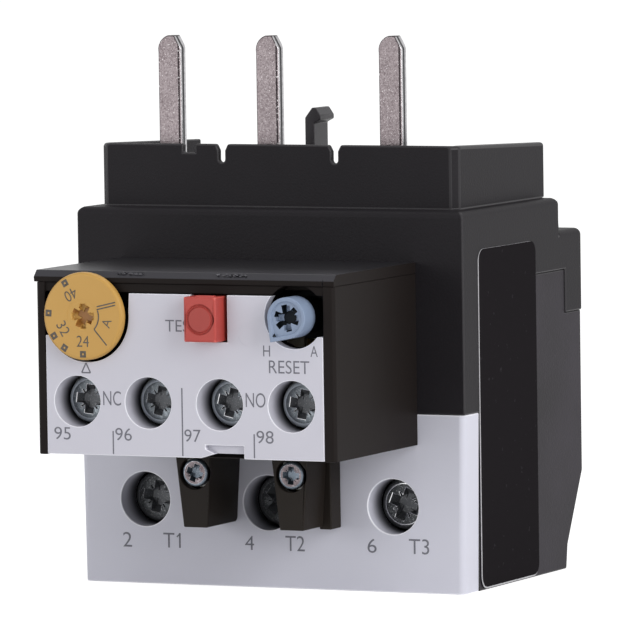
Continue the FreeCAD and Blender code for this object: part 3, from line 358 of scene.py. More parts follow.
# Head case. The black box on the front that holds the setting and the auxiliary contacts.
# Smooth, slightly brown black moulding with painted shade inside; the front plate and the lid
# close it.
CASE_EDGE = 0.14 * MM
CASE_WALL = 0.5 * MM
CASE_LIP = 0.4 * MM
case_black = moulded("case_black", "1a1615", "1f1b1a", 0.5, 0.12, 0.8, 0.06)
case_inner_shade = moulded("case_inner_shade", "0b0a0a", "100e0e", 0.6, 0.12, 0.8, 0.0)
case = eased("head_case", CASE_EDGE, case_black)
case.data.materials.append(case_inner_shade)
case_low, case_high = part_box("head_case")
# Painted shade: faces inside the walls take a darker copy of the case's black.
for face in case.data.polygons:
    middle = face.center
    inside = [min(middle[i] - case_low[i], case_high[i] - middle[i]) for i in (0, 2)]
    if min(inside) > CASE_WALL and middle.y > case_low.y + CASE_LIP:
        face.material_index = 1


# Head lid. A glossier black cover with a bevelled front edge and a fine seam, which bears two
# rough marks where its catches were broken from the sprue. Its front and sides match the case;
# its top is painted lighter, as lit from above, and darker towards the back as painted shade.
LID_EDGE = 0.12 * MM
# Painted shade: the lid's top darkens from its front edge to 12 mm back.
LID_BACK_SHADE = (0.0, 12.0, 30.0, "1b1a1d")
LID_SLOPE = 1.1 * MM
LID_SQUEEZE = 0.8
LID_TOP = 0.4
LID_BEVEL = 0.42 * MM
SEAM_X = 21.1 * MM
SEAM_HALF = 0.07 * MM
SEAM_DEPTH = 0.2 * MM
CATCH_XS = (-8.1, 7.5)
CATCH_WIDTH = 4.4
CATCH_LUMPS = 13
PIT_SIZE = 0.4
PIT_LIFT = 0.1
CRUMB_SIZES = (0.05, 0.16)
CRUMB_LIFT = 0.02
CRUMB_RAGGED = (0.4, 1.3)
CRUMB_STRETCH = 1.8
CRUMB_ASTRAY = 0.3
CRUMB_RISE = 0.25


def drop(target):
    bpy.data.objects.remove(target, do_unlink=True)


def cutter_from(shape):
    """A loose solid that is only joined to another or cut out of it."""
    return placed("cutter", mesh_of(shape, "cutter"))


def boolean(target, other, operation):
    """Joins another solid to this one or cuts it out, by a modifier."""
    join = target.modifiers.new("boolean", "BOOLEAN")
    join.operation = operation
    join.solver = "EXACT"
    join.material_mode = "TRANSFER"
    join.object = other


def evaluated_mesh(target):
    """The mesh that an object has under its modifiers."""
    bpy.context.view_layer.update()
    graph = bpy.context.evaluated_depsgraph_get()
    return bpy.data.meshes.new_from_object(target.evaluated_get(graph))


def carve(target, cutters, inner=None, rim=0.0, edge_tone=None):
    """Cuts the cutters out of a piece, and takes them away.

    The cut's walls take the inner material. Its rim gets a fine bevel of this width, which may
    have an edge tone of its own, such as a painted highlight.
    """
    target.modifiers.clear()
    for cutter in cutters:
        if inner:
            cutter.data.materials.append(inner)
        boolean(target, cutter, "DIFFERENCE")
    target.data = evaluated_mesh(target)
    target.modifiers.clear()
    for cutter in cutters:
        drop(cutter)
    shape = bmesh.new()
    shape.from_mesh(target.data)
    if rim:
        lit = []
        deep = len(target.data.materials) - 1
        for edge in shape.edges:
            kinds = {face.material_index for face in edge.link_faces}
            if len(kinds) == 2 and deep in kinds:
                lit.append(edge)
        if edge_tone:
            target.data.materials.append(edge_tone)
        bmesh.ops.bevel(
            shape, geom=lit, offset=rim, offset_type="OFFSET", segments=1, profile=0.5,
            affect="EDGES", clamp_overlap=True, material=deep + 1 if edge_tone else 0,
        )
    mark_creases(shape)
    shape.to_mesh(target.data)
    shape.free()
    even_out(target)


def block(x0, x1, y0, y1, z0, z1, shape=None):
    """A box between two corners, in metres, in a new or given bmesh."""
    shape = shape or bmesh.new()
    size = Matrix.Diagonal((x1 - x0, y1 - y0, z1 - z0, 1))
    middle = Matrix.Translation(((x0 + x1) / 2, (y0 + y1) / 2, (z0 + z1) / 2))
    bmesh.ops.create_cube(shape, size=1, matrix=middle @ size)
    return shape


lid_low, lid_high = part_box("head_lid")
lid_back_shade = painted_shade_behind(lid_low.y, *LID_BACK_SHADE)
lid_lit_top = moulded("lid_black", "2b2a2f", "323136", 0.34, 0.08, 0.8, 0.22, lid_back_shade)
lid = eased("head_lid", LID_EDGE, lid_lit_top)
lid.data.materials.append(case_black)
for corner in lid.data.vertices:
    for end in (lid_low.x, lid_high.x):
        if abs(corner.co.x - end) < LID_SLOPE and corner.co.z > lid_high.z - LID_SLOPE:
            corner.co.x += (end - corner.co.x) * LID_SQUEEZE
# Painted light: the front and sides take the case's darker black, and the top keeps the lighter
# one.
for face in lid.data.polygons:
    if face.normal.z < LID_TOP:
        face.material_index = 1
bevel_middle = Vector((0, lid_low.y + LID_BEVEL, lid_high.z - LID_BEVEL))
chance = random.Random(7)


def crumb(catch_x, share, size, lift):
    """A ragged crumb of a torn-off catch, at a chance place round this share of its width."""
    shape = bmesh.new()
    bmesh.ops.create_icosphere(shape, subdivisions=2, radius=size * MM)
    for corner in shape.verts:
        corner.co *= chance.uniform(*CRUMB_RAGGED)
        corner.co.x *= CRUMB_STRETCH
    along = catch_x + CATCH_WIDTH * (share - 0.5) + chance.uniform(-CRUMB_ASTRAY, CRUMB_ASTRAY)
    rise = lift * MM + chance.uniform(0.0, CRUMB_RISE) * MM
    place = bevel_middle + Vector((along * MM, -lift * MM, rise))
    bmesh.ops.translate(shape, vec=place, verts=shape.verts)
    return shape


lumps = []
ragged = bmesh.new()
for catch_x in CATCH_XS:
    for k in range(CATCH_LUMPS):
        share = (k + 0.5) / CATCH_LUMPS
        lumps.append(cutter_from(crumb(catch_x, share, PIT_SIZE, PIT_LIFT)))
        raised = crumb(catch_x, share, chance.uniform(*CRUMB_SIZES), CRUMB_LIFT)
        ragged.from_mesh(mesh_of(raised, "crumb"))
seam = block(
    SEAM_X - SEAM_HALF, SEAM_X + SEAM_HALF, lid_low.y - SEAM_DEPTH, lid_low.y + SEAM_DEPTH,
    lid_low.z - SEAM_DEPTH, lid_high.z + SEAM_DEPTH,
)
lumps.append(cutter_from(seam))
carve(lid, lumps)
torn_black = moulded("torn_plastic", "222125", "55545b", 0.34, 0.4, 0.7)
piece("torn_catches", ragged, torn_black, "housing")


# Front plate. The light plate of the head, with a well for each auxiliary screw, a round hole
# for the dial, the button's slot, the knob's recess and a shelf inside its notch. It has a faint
# ejector mark and grey pad-printed legends.
PLATE_EDGE = 0.09 * MM
# Painted shade: the plate darkens inside its screw wells, from 1 mm to 4.6 mm behind its face.
PLATE_WELL_SHADE = (1.0, 4.6, 30.0, "26262a")
MARK_CLEAR = 0.1 * MM
MARK_SINK = 0.03 * MM
EJECTOR_X = 9.78
EJECTOR_Z = 38.04
EJECTOR_R = 1.55
NOTCH_LEFT = 2.6
NOTCH_RIGHT = 8.85
NOTCH_TOP = 1.75
SHELF_RISE = 0.62
SHELF_SINK = 0.8
SHELF_BACK = 1.4
DIAL_HOLE = 6.45
DIAL_HOLE_SIDES = 96
FILL_LEFT = 2.0
FILL_RIGHT = -8.3
FILL_LOW = 37.0
FILL_HIGH = 39.7
FILL_THICK = 1.6
INK_PROUD = 0.012 * MM
INK_SUNK = 0.01 * MM
INK = "5d5d66"
INK_PALE = "b8b8c0"
LETTER_OFFSET = -0.003
LETTER_STEPS = 5
LINE_WIDTH = 0.2
PLATE_WORDS = (
    ("NC", -11.22, 28.83, 2.75, 2.0),
    ("NO", 10.76, 29.07, 3.0, 2.0),
    ("95", -19.0, 23.8, 2.55, 1.75),
    ("96", -9.54, 23.88, 2.55, 1.75),
    ("97", 1.07, 23.95, 2.5, 1.72),
    ("98", 12.12, 24.02, 2.6, 1.75),
    ("TEST", -0.3, 39.06, 5.1, 1.65),
    ("RESET", 15.91, 33.71, 6.1, 1.8),
    ("H", 12.55, 35.87, 1.05, 1.5),
    ("A", 19.72, 35.95, 1.1, 1.5),
)
PLATE_LINES = ((-11.14, 21.1, 24.3), (-0.46, 21.1, 30.5), (10.47, 21.1, 24.4))
PLATE_ARROW = ((-15.85, 32.3), (-14.5, 32.3), (-15.17, 33.65))


def disc(radius, x, z, y0, y1, sides=48):
    """A round slab along y, in metres."""
    shape = bmesh.new()
    turn = Matrix.Translation((x, (y0 + y1) / 2, z)) @ Matrix.Rotation(math.pi / 2, 4, "X")
    bmesh.ops.create_cone(
        shape, cap_ends=True, segments=sides, radius1=radius, radius2=radius,
        depth=abs(y1 - y0), matrix=turn,
    )
    return shape


def sink_mark(target, radius, x, z, face_y):
    """Sinks a faint round mark into a face. The radius and the place are in millimetres."""
    mark = disc(radius * MM, x * MM, z * MM, face_y - MARK_CLEAR, face_y + MARK_SINK)
    carve(target, [cutter_from(mark)])


def letter_mesh(text):
    """The filled outline of a text, one unit thick."""
    curve = bpy.data.curves.new("legend", "FONT")
    curve.body = text
    curve.offset = LETTER_OFFSET
    curve.resolution_u = LETTER_STEPS
    curve.extrude = 0.5
    word = placed("legend", curve)
    mesh = evaluated_mesh(word)
    drop(word)
    return mesh


def legend(shape, text, x, z, width, height, face_y, turn=0.0):
    """Adds a text of this width and height, in millimetres, centred on a face along -y."""
    mesh = letter_mesh(text)
    first = len(shape.verts)
    shape.from_mesh(mesh)
    shape.verts.ensure_lookup_table()
    fresh = shape.verts[first:]
    low = Vector([min(v.co[i] for v in fresh) for i in range(3)])
    high = Vector([max(v.co[i] for v in fresh) for i in range(3)])
    size = high - low
    thick = INK_PROUD + INK_SUNK
    scale = Matrix.Diagonal((width * MM / size.x, height * MM / size.y, thick / size.z, 1))
    stand = Matrix.Rotation(math.pi / 2, 4, "X")
    spin = Matrix.Rotation(-turn, 4, "Y")
    middle = Matrix.Translation(-(low + high) / 2)
    centre = Vector((x * MM, face_y + (INK_SUNK - INK_PROUD) / 2, z * MM))
    place = Matrix.Translation(centre) @ spin @ stand @ scale @ middle
    bmesh.ops.transform(shape, matrix=place, verts=fresh)


def stroke(shape, x0, z0, x1, z1, width, face_y):
    """Adds a straight printed line between two points, in millimetres."""
    length = math.hypot(x1 - x0, z1 - z0)
    angle = math.atan2(z1 - z0, x1 - x0)
    first = len(shape.verts)
    half = length / 2 * MM
    side = width / 2 * MM
    block(-half, half, -INK_PROUD, INK_SUNK, -side, side, shape)
    shape.verts.ensure_lookup_table()
    middle = Vector(((x0 + x1) / 2 * MM, face_y, (z0 + z1) / 2 * MM))
    place = Matrix.Translation(middle) @ Matrix.Rotation(-angle, 4, "Y")
    bmesh.ops.transform(shape, matrix=place, verts=shape.verts[first:])


def ink(name, code):
    """Matt pad-printing ink, slightly uneven."""
    finish = Finish(name, Specular_IOR_Level=0.2)
    cover = finish.noise(2500.0, 2.0)
    pale = finish.mix(0.25, shade(code), shade(INK_PALE))
    tone = finish.mix(cover, shade(code), pale)
    return finish.paint(Base_Color=tone, Roughness=0.6 + cover * 0.1)


plate_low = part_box("front_plate")[0]
plate_y = plate_low.y
plate_well_shade = painted_shade_behind(plate_y, *PLATE_WELL_SHADE)
plate_white = moulded("plate_white", "bfbec8", "c5c4ce", 0.45, 0.1, 0.8, 0.25, plate_well_shade)
dial_low, dial_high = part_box("setting_dial")
dial_x = (dial_low.x + dial_high.x) / 2 / MM
dial_z = (dial_low.z + dial_high.z) / 2 / MM
whole = cutter_from(node_shape("front_plate"))
fill_back = plate_y + FILL_THICK * MM
fill = cutter_from(block(
    (dial_x + FILL_LEFT) * MM, FILL_RIGHT * MM, plate_y, fill_back, FILL_LOW * MM, FILL_HIGH * MM,
))
hole = cutter_from(disc(
    DIAL_HOLE * MM, dial_x * MM, dial_z * MM, plate_y - MM, fill_back, DIAL_HOLE_SIDES,
))
boolean(whole, fill, "UNION")
boolean(whole, hole, "DIFFERENCE")
plate_shape = bmesh.new()
plate_shape.from_mesh(evaluated_mesh(whole))
for helper in (whole, fill, hole):
    drop(helper)
round_edges(cleaned(plate_shape), PLATE_EDGE, 1)
plate = piece("front_plate_piece", plate_shape, plate_white, "housing", "front_plate")
plate.data.materials.append(white_edge_highlight)
sink_mark(plate, EJECTOR_R, EJECTOR_X, EJECTOR_Z, plate_y)

shelf = block(
    NOTCH_LEFT * MM, NOTCH_RIGHT * MM, plate_y + SHELF_SINK * MM, plate_y + SHELF_BACK * MM,
    plate_low.z + SHELF_RISE * MM, plate_low.z + NOTCH_TOP * MM,
)
piece("notch_shelf", round_edges(shelf, PLATE_EDGE), plate_white, "housing")

plate_print = bmesh.new()
for word in PLATE_WORDS:
    legend(plate_print, *word, plate_y)
for line_x, low_z, high_z in PLATE_LINES:
    stroke(plate_print, line_x, low_z, line_x, high_z, LINE_WIDTH, plate_y)
for start, end in zip(PLATE_ARROW, PLATE_ARROW[1:] + PLATE_ARROW[:1]):
    stroke(plate_print, *start, *end, LINE_WIDTH, plate_y)
plate_ink = ink("grey_ink", INK)
piece("plate_print", plate_print, plate_ink, "housing")


# Cover legends. Terminal numbers, pad-printed in grey under the main terminals. The first
# one's figure has a flag of its own.
COVER_WORDS = (
    ("2", -22.78, 6.17, 1.4, 2.1),
    ("T1", -15.72, 6.25, 2.75, 2.1),
    ("4", -3.52, 6.28, 1.4, 2.0),
    ("T2", 3.59, 6.4, 3.0, 2.15),
    ("6", 15.52, 6.46, 1.4, 2.0),
    ("T3", 22.75, 6.55, 3.1, 2.15),
)
COVER_FLAG = (-14.95, 6.75, -14.42, 7.24)
cover_print = bmesh.new()
for word in COVER_WORDS:
    legend(cover_print, *word, cover_face)
stroke(cover_print, *COVER_FLAG, LINE_WIDTH, cover_face)
piece("cover_print", cover_print, plate_ink, "housing")


# Side plate. A bare glossy black foil with round corners and a pale cut edge, stuck flat on
# the right side. Its depths count from the front of the body, as the feed-through blocks' do.
SHIFT = -6.45 * MM
FOIL_FRONT_Y = 5.3
FOIL_BACK_Y = 25.1
FOIL_LOW_Z = 0.45
FOIL_HIGH_Z = 47.9
FOIL_CORNER = 1.6
CORNER_STEPS = 8
FOIL_THICK = 0.05
FOIL_SINK = 0.02
FOIL_RIM = 0.22
RIM_BACK = 0.2
RIM_TOP = 0.1
LENGTHWISE = 1e-6


def foil(name, rim, x0, x1, material):
    """A thin upright slab with rounded corners on the right side. Its rim is widest in front."""
    shape = block(
        x0 * MM, x1 * MM,
        (FOIL_FRONT_Y - rim) * MM + SHIFT, (FOIL_BACK_Y + rim * RIM_BACK) * MM + SHIFT,
        (FOIL_LOW_Z - rim) * MM, (FOIL_HIGH_Z + rim * RIM_TOP) * MM,
    )
    across = []
    for edge in shape.edges:
        if abs(edge.verts[0].co.x - edge.verts[1].co.x) > LENGTHWISE:
            across.append(edge)
    bmesh.ops.bevel(
        shape, geom=across, offset=(FOIL_CORNER + rim) * MM, offset_type="OFFSET",
        segments=CORNER_STEPS, profile=0.5, affect="EDGES", clamp_overlap=False, material=-1,
    )
    return piece(name, shape, material, "housing")


side_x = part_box("upper_housing")[1].x / MM
paper = Finish("foil_paper", Specular_IOR_Level=0.2)
fibres = paper.noise(2200.0, 3.0)
paper_tone = paper.mix(fibres, shade("8f8e92"), shade("cfced1"))
paper.paint(Base_Color=paper_tone, Roughness=0.7 + fibres * 0.1)
foil("side_foil_edge", FOIL_RIM, side_x - FOIL_SINK, side_x + FOIL_THICK, paper.material)
gloss = Finish("foil_black", Specular_IOR_Level=0.0)
ripple = gloss.noise(160.0, 2.0)
scuffs = gloss.noise(900.0, 4.0)
scuffed = gloss.mix((scuffs > 0.69) * 0.2, shade("201e20"), shade("4a484c"))
gloss_bump = gloss.bump(ripple, 0.25, 0.0001)
gloss.paint(Base_Color=scuffed, Roughness=0.26 + scuffs * 0.2, Normal=gloss_bump)
foil("side_foil", 0.0, side_x, side_x + 2 * FOIL_THICK, gloss.material)


# Screws. Cheese heads with a cross recess and four fine marker ticks, rolled threads behind.
# The main and auxiliary screws are dark chromated steel; the feed screws are bright nickel.
MAIN_SIZES = (3.65, 2.0, 3.0, 1.0)
AUX_SIZES = (3.3, 1.6, 1.75, 0.6)
FEED_SIZES = (2.0, 1.2, 1.25, 0.5)
MAIN_RECESS = (5.2, 1.6, 1.4)
AUX_RECESS = (4.8, 1.5, 1.0)
FEED_RECESS = (3.0, 1.0, 0.9)
HEAD_SIDES = 48
HEAD_ROUND = 0.2
HEAD_STEPS = 4
HEAD_RIM = 0.9
TURNED_WELD = 0.001 * MM
THREAD_DEPTH = 0.12 * MM
THREAD_END = 1.5
POINT_SHARE = 0.8
RECESS_RIM = 0.09 * MM
RECESS_CLEAR = 0.5 * MM
CORE_SHARE = 0.82
CORE_DEPTH = 0.85
CORE_SIDES = 16
ARM_TAPER = 0.55
WIDTH_TAPER = 0.7
TICK_FROM = 0.6
TICK_TO = 0.36
TICK_HALF = 0.06
TICK_DEPTH = 0.35
SCRATCH_GREY = "c8c8cc"


def turned(profile, x, z):
    """A closed turned shape about an axis along y. The profile holds (radius, y), front first."""
    shape = bmesh.new()
    corners = [shape.verts.new((radius, y, 0)) for radius, y in profile]
    edges = [shape.edges.new(pair) for pair in zip(corners, corners[1:])]
    bmesh.ops.spin(
        shape, geom=corners + edges, cent=(0, 0, 0), axis=(0, 1, 0), dvec=(0, 0, 0),
        angle=2 * math.pi, steps=HEAD_SIDES, use_merge=True, use_duplicate=False,
    )
    bmesh.ops.remove_doubles(shape, verts=shape.verts, dist=TURNED_WELD)
    bmesh.ops.recalc_face_normals(shape, faces=shape.faces)
    bmesh.ops.translate(shape, vec=(x, 0, z), verts=shape.verts)
    return shape


def cross_cutter(x, z, face_y, arm, width, depth, turn):
    """Driver recess: two crossed wedges, narrower inwards, a round middle and four ticks."""
    parts = [disc(width * CORE_SHARE, 0, 0, -RECESS_CLEAR, depth * CORE_DEPTH, CORE_SIDES)]
    tick = width * TICK_HALF
    for quarter in range(4):
        if quarter < 2:
            wedge = block(-arm / 2, arm / 2, -RECESS_CLEAR, depth, -width / 2, width / 2)
            for corner in wedge.verts:
                if corner.co.y > 0:
                    corner.co.x *= ARM_TAPER
                    corner.co.z *= WIDTH_TAPER
            spin = Matrix.Rotation(quarter * math.pi / 2, 4, "Y")
            bmesh.ops.transform(wedge, matrix=spin, verts=wedge.verts)
            parts.append(wedge)
        mark = block(
            width * TICK_FROM, arm * TICK_TO, -RECESS_CLEAR, depth * TICK_DEPTH, -tick, tick,
        )
        spin = Matrix.Rotation((quarter + 0.5) * math.pi / 2, 4, "Y")
        bmesh.ops.transform(mark, matrix=spin, verts=mark.verts)
        parts.append(mark)
    place = Matrix.Translation((x, face_y, z)) @ Matrix.Rotation(turn, 4, "Y")
    cutters = []
    for part in parts:
        bmesh.ops.transform(part, matrix=place, verts=part.verts)
        cutters.append(cutter_from(part))
    return cutters


def screw(node, body, sizes, recess, turn, material, inner, rim):
    """A screw in its node's place, cut with its recess. The head's front edge has the rim finish.

    The sizes are the head's radius and thickness, the shank's radius and the pitch, and the
    recess is its arm, width and depth, all in millimetres.
    """
    head_r, head_thick, shank_r, pitch = (size * MM for size in sizes)
    low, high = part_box(node)
    x = (low.x + high.x) / 2
    z = (low.z + high.z) / 2
    edge = head_r * HEAD_ROUND
    back = low.y + head_thick
    root_r = shank_r - THREAD_DEPTH
    profile = [(0, low.y)]
    for step in range(HEAD_STEPS + 1):
        angle = math.pi / 2 * step / HEAD_STEPS
        out = head_r - edge + edge * math.sin(angle)
        profile.append((out, low.y + edge - edge * math.cos(angle)))
    profile += [(head_r, back), (shank_r, back)]
    y = back + pitch
    while y < high.y - pitch * THREAD_END:
        profile.append((root_r, y))
        profile.append((shank_r, y + pitch / 2))
        y += pitch
    profile += [(root_r, high.y - pitch / 2), (shank_r * POINT_SHARE, high.y), (0, high.y)]
    shape = turned(profile, x, z)
    for face in shape.faces:
        middle = face.calc_center_median()
        out = math.hypot(middle.x - x, middle.z - z)
        if out > head_r - edge * HEAD_RIM and middle.y < low.y + edge:
            face.material_index = 1
    made = piece(node + "_piece", shape, material, body, node)
    made.data.materials.append(rim)
    arm, width, depth = (size * MM for size in recess)
    cutters = cross_cutter(x, z, low.y, arm, width, depth, turn)
    # The recess rim's bevel takes a painted highlight.
    carve(made, cutters, inner, RECESS_RIM, lit_steel)


def steel(name, dark, light, roughness, metallic=0.9):
    """Plated steel with turning marks, soft stains and small handling scratches."""
    finish = Finish(name, Metallic=metallic)
    stain = finish.noise(420.0, 3.0)
    fine = finish.noise(2600.0, 3.0)
    scratch = finish.noise(5200.0, 1.0) > 0.62
    tone = finish.mix(stain, shade(dark), shade(light))
    tone = finish.mix(scratch * 0.2, tone, shade(SCRATCH_GREY))
    rough = roughness + fine * 0.16
    bump = finish.bump(fine + stain * 0.5, 0.35, PLATING_DEPTH)
    return finish.paint(Base_Color=tone, Roughness=rough, Normal=bump)


dark_steel = steel("dark_chromate", "2f3133", "484a4c", 0.32)
blue_steel = steel("blue_chromate", "4a4f53", "71777c", 0.26)
nickel = steel("nickel", "51484b", "7d7477", 0.26, 1.0)
# Painted light: the main and auxiliary recess walls are a lighter, less metallic copy of the
# steel.
lit_recess_steel = steel("lit_recess_steel", "46484b", "6a6c6f", 0.4, 0.5)
bright_recess = steel("bright_recess", "3c444c", "7f8a96", 0.25, 0.8)
# Painted highlight: the auxiliary heads' front rims are lit pale, as the white well wall would
# light them.
aux_rim_highlight = steel("painted_rim_highlight", "a0a9b3", "cdd4db", 0.3, 0.2)
# Painted highlight: the fine bevel round each screw recess is lit near white.
lit_steel = steel("recess_rim_highlight", "c9cacd", "f2f2f4", 0.18, 1.0)
SCREW_KINDS = (
    ("terminal_screw_%d", "screw_%d", (10, 40, 22), MAIN_SIZES, MAIN_RECESS,
     (dark_steel, lit_recess_steel, dark_steel)),
    ("aux_screw_%d", "aux_screw_%d", (6, 12, 14, 9), AUX_SIZES, AUX_RECESS,
     (blue_steel, lit_recess_steel, aux_rim_highlight)),
    ("feed_screw_%d", "feed_screw_%d", (20, 3), FEED_SIZES, FEED_RECESS,
     (nickel, bright_recess, nickel)),
)
for node, body, turns, sizes, recess, platings in SCREW_KINDS:
    for number, turn in enumerate(turns, 1):
        screw(node % number, body % number, sizes, recess, math.radians(turn), *platings)


# Feed-through blocks. Two tapered black terminals that hang under the head, each open below
# for its wire, with a sunk screw in front. The right one has a second plate beside it.
BLOCK_EDGE = 0.18 * MM
CHEEK_LEFT = 9.0
CHEEK_RIGHT = 10.85
CHEEK_FRONT = -3.4
CHEEK_BACK = -0.1
CHEEK_LOW = 8.9
CHEEK_HIGH = 20.6
block_black = moulded("block_black", "1f1b1a", "29241f", 0.4, 0.15, 0.8, 0.1)
for number in (1, 2):
    eased("feed_block_%d" % number, BLOCK_EDGE, block_black)
cheek = block(
    CHEEK_LEFT * MM, CHEEK_RIGHT * MM, CHEEK_FRONT * MM + SHIFT, CHEEK_BACK * MM + SHIFT,
    CHEEK_LOW * MM, CHEEK_HIGH * MM,
)
piece("feed_cheek", round_edges(cheek, BLOCK_EDGE), block_black, "housing")


# Setting dial. An ochre disc with a star recess for a screwdriver, a faint ring and a dark
# printed scale. It turns on its shaft in the head case, and its rim stands over the plate.
# Angles on it are read clockwise from the bottom, in degrees.
DIAL_EDGE = 0.22 * MM
DIAL_STAR = (3.9, 1.15, 1.0)
DIAL_STAR_TURN = math.radians(24)
DIAL_STAR_RIM = 0.08 * MM
DIAL_RING = 2.4
DIAL_LINE = 0.19
SCALE_R = 5.25
MARK_SIZE = 0.92
MARK_STROKE = 0.33
MARK_ANGLES = (0, 33, 58, 94, 150)
MARK_SIDES = ((-1, 0), (1, 0), (0, -1), (0, 1))
LABEL_R = 3.45
LABEL_SIZE = (1.9, 1.55)
DIAL_LABELS = (("24", 0), ("32", 60), ("40", 150))
ARC_R = 2.5
ARC_STEPS = 9
ARC_FROM = 250
ARC_TO = 315
TAIL_R = 5.4
TAIL_AT = 317
BRACKET_IN = (2.24, 1.17)
BRACKET_OUT = (5.1, 1.83)
BRACKET_HALF = 0.2
UNIT_R = 3.8
UNIT_AT = 283
UNIT_SIZE = (1.2, 1.35)
UNIT_TURN = math.radians(-290)


def dial_point(radius, clockwise):
    """A place on the dial's face."""
    angle = math.radians(clockwise)
    return dial_x - radius * math.sin(angle), dial_z - radius * math.cos(angle)


def hollow_mark(shape, clockwise):
    """Adds a printed square outline to the scale, turned with its angle."""
    x, z = dial_point(SCALE_R, clockwise)
    across = math.radians(clockwise)
    reach = (MARK_SIZE - MARK_STROKE) / 2
    for along, aside in MARK_SIDES:
        dx = reach * along * math.cos(across) + reach * aside * math.sin(across)
        dz = -reach * along * math.sin(across) + reach * aside * math.cos(across)
        half = MARK_SIZE / 2 - MARK_STROKE * abs(aside)
        ex = half * (abs(aside) * math.cos(across) + abs(along) * math.sin(across))
        ez = half * (-abs(aside) * math.sin(across) + abs(along) * math.cos(across))
        start = (x + dx - ex, z + dz - ez)
        end = (x + dx + ex, z + dz + ez)
        stroke(shape, *start, *end, MARK_STROKE, dial_low.y)


ochre = moulded("ochre_dial", "b68c46", "be9652", 0.4, 0.12, 0.8, 0.3)
# Painted shade: the star recess's walls are a darker ochre.
ochre_recess_shade = moulded("ochre_recess_shade", "7a4f1e", "b07a35", 0.45)
dial = eased("setting_dial", DIAL_EDGE, ochre, "dial")
arm, width, depth = (size * MM for size in DIAL_STAR)
sink_mark(dial, DIAL_RING, dial_x, dial_z, dial_low.y)
star = cross_cutter(dial_x * MM, dial_z * MM, dial_low.y, arm, width, depth, DIAL_STAR_TURN)
carve(dial, star, ochre_recess_shade, DIAL_STAR_RIM)
dial_print = bmesh.new()
for clockwise in MARK_ANGLES:
    hollow_mark(dial_print, clockwise)
for text, clockwise in DIAL_LABELS:
    place = dial_point(LABEL_R, clockwise)
    legend(dial_print, text, *place, *LABEL_SIZE, dial_low.y, -math.radians(clockwise))
for side in (-BRACKET_HALF, BRACKET_HALF):
    near = (dial_x + BRACKET_IN[0], dial_z + BRACKET_IN[1] + side)
    far = (dial_x + BRACKET_OUT[0], dial_z + BRACKET_OUT[1] + side)
    stroke(dial_print, *near, *far, DIAL_LINE, dial_low.y)
sweep = ARC_TO - ARC_FROM
arc = [dial_point(ARC_R, ARC_FROM + sweep * k / ARC_STEPS) for k in range(ARC_STEPS + 1)]
for start, end in zip(arc, arc[1:]):
    stroke(dial_print, *start, *end, DIAL_LINE, dial_low.y)
tail = dial_point(TAIL_R, TAIL_AT)
stroke(dial_print, *dial_point(ARC_R, ARC_TO), *tail, DIAL_LINE, dial_low.y)
legend(dial_print, "A", *dial_point(UNIT_R, UNIT_AT), *UNIT_SIZE, dial_low.y, UNIT_TURN)
piece("dial_print", dial_print, ink("brown_ink", "40351f"), "dial")


# Test button. A square red push button with a ring moulded in its face, a slightly darker
# middle and a small ridge on top. It slides in the plate's slot against its spring.
BUTTON_EDGE = 0.16 * MM
BUTTON_TOP = 43.26 * MM
BUTTON_FACE = -0.9
RIDGE_LEFT = 2.9
RIDGE_RIGHT = 5.7
RIDGE_FRONT = 0.25
RIDGE_BACK = 1.1
RIDGE_ROOT = 0.4
RIDGE_RISE = 0.2
RIDGE_EDGE = 0.12 * MM
RING_R = 2.3 * MM
red = moulded("red_button", "a23933", "ad443d", 0.42, 0.12, 0.8, 0.35)
red_centre = moulded("red_centre", "93342e", "9d3d36", 0.42, 0.12, 0.8, 0.35)
# Painted highlight: the button's rounded edges are a lighter red.
red_edge_highlight = moulded("red_edge_highlight", "b84a42", "c4564d", 0.36, 0.12, 0.8, 0.5)
button_shape = round_edges(cleaned(node_shape("test_button")), BUTTON_EDGE, 1)
button_low, button_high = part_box("test_button")
ridge = block(
    RIDGE_LEFT * MM, RIDGE_RIGHT * MM,
    button_low.y + RIDGE_FRONT * MM, button_low.y + RIDGE_BACK * MM,
    BUTTON_TOP - RIDGE_ROOT * MM, BUTTON_TOP + RIDGE_RISE * MM,
)
button_shape.from_mesh(mesh_of(round_edges(ridge, RIDGE_EDGE), "ridge"))
button = piece("test_button_piece", button_shape, red, "button", "test_button")
button.data.materials.append(red_edge_highlight)
button.data.materials.append(red_centre)
middle_x = (button_low.x + button_high.x) / 2
middle_z = (button_low.z + button_high.z) / 2
for face in button.data.polygons:
    corners = [button.data.vertices[i].co for i in face.vertices]
    reach = max(math.hypot(corner.x - middle_x, corner.z - middle_z) for corner in corners)
    if reach < RING_R:
        face.material_index = 2 if face.normal.y < BUTTON_FACE else 0


# Reset knob. A grey-blue teardrop with a raised rim and a star recess, painted dark as shade. Its
# tip points at the chosen mode, it turns a quarter turn and presses in with the plunger behind
# it.
KNOB_EDGE = 0.13 * MM
KNOB_X = 16.7
KNOB_Z = 40.6
KNOB_RIM = 0.07 * MM
KNOB_LOBES = 6
LOBE_TURN = 0.3
LOBE_LONG = 1.85 * MM
LOBE_HALF = 0.42 * MM
LOBE_DEEP = 1.3 * MM
WELL_R = 0.95 * MM
WELL_DEEP = 1.6 * MM
WELL_SIDES = 20
TIP_LEFT = 1.75
TIP_DOWN = 2.4
TIP_SIZE = 0.34 * MM
TIP_SIDES = 3
TIP_HALF = 0.02 * MM
blue = moulded("blue_knob", "7988a0", "8593ab", 0.4, 0.15, 0.78, 0.35)
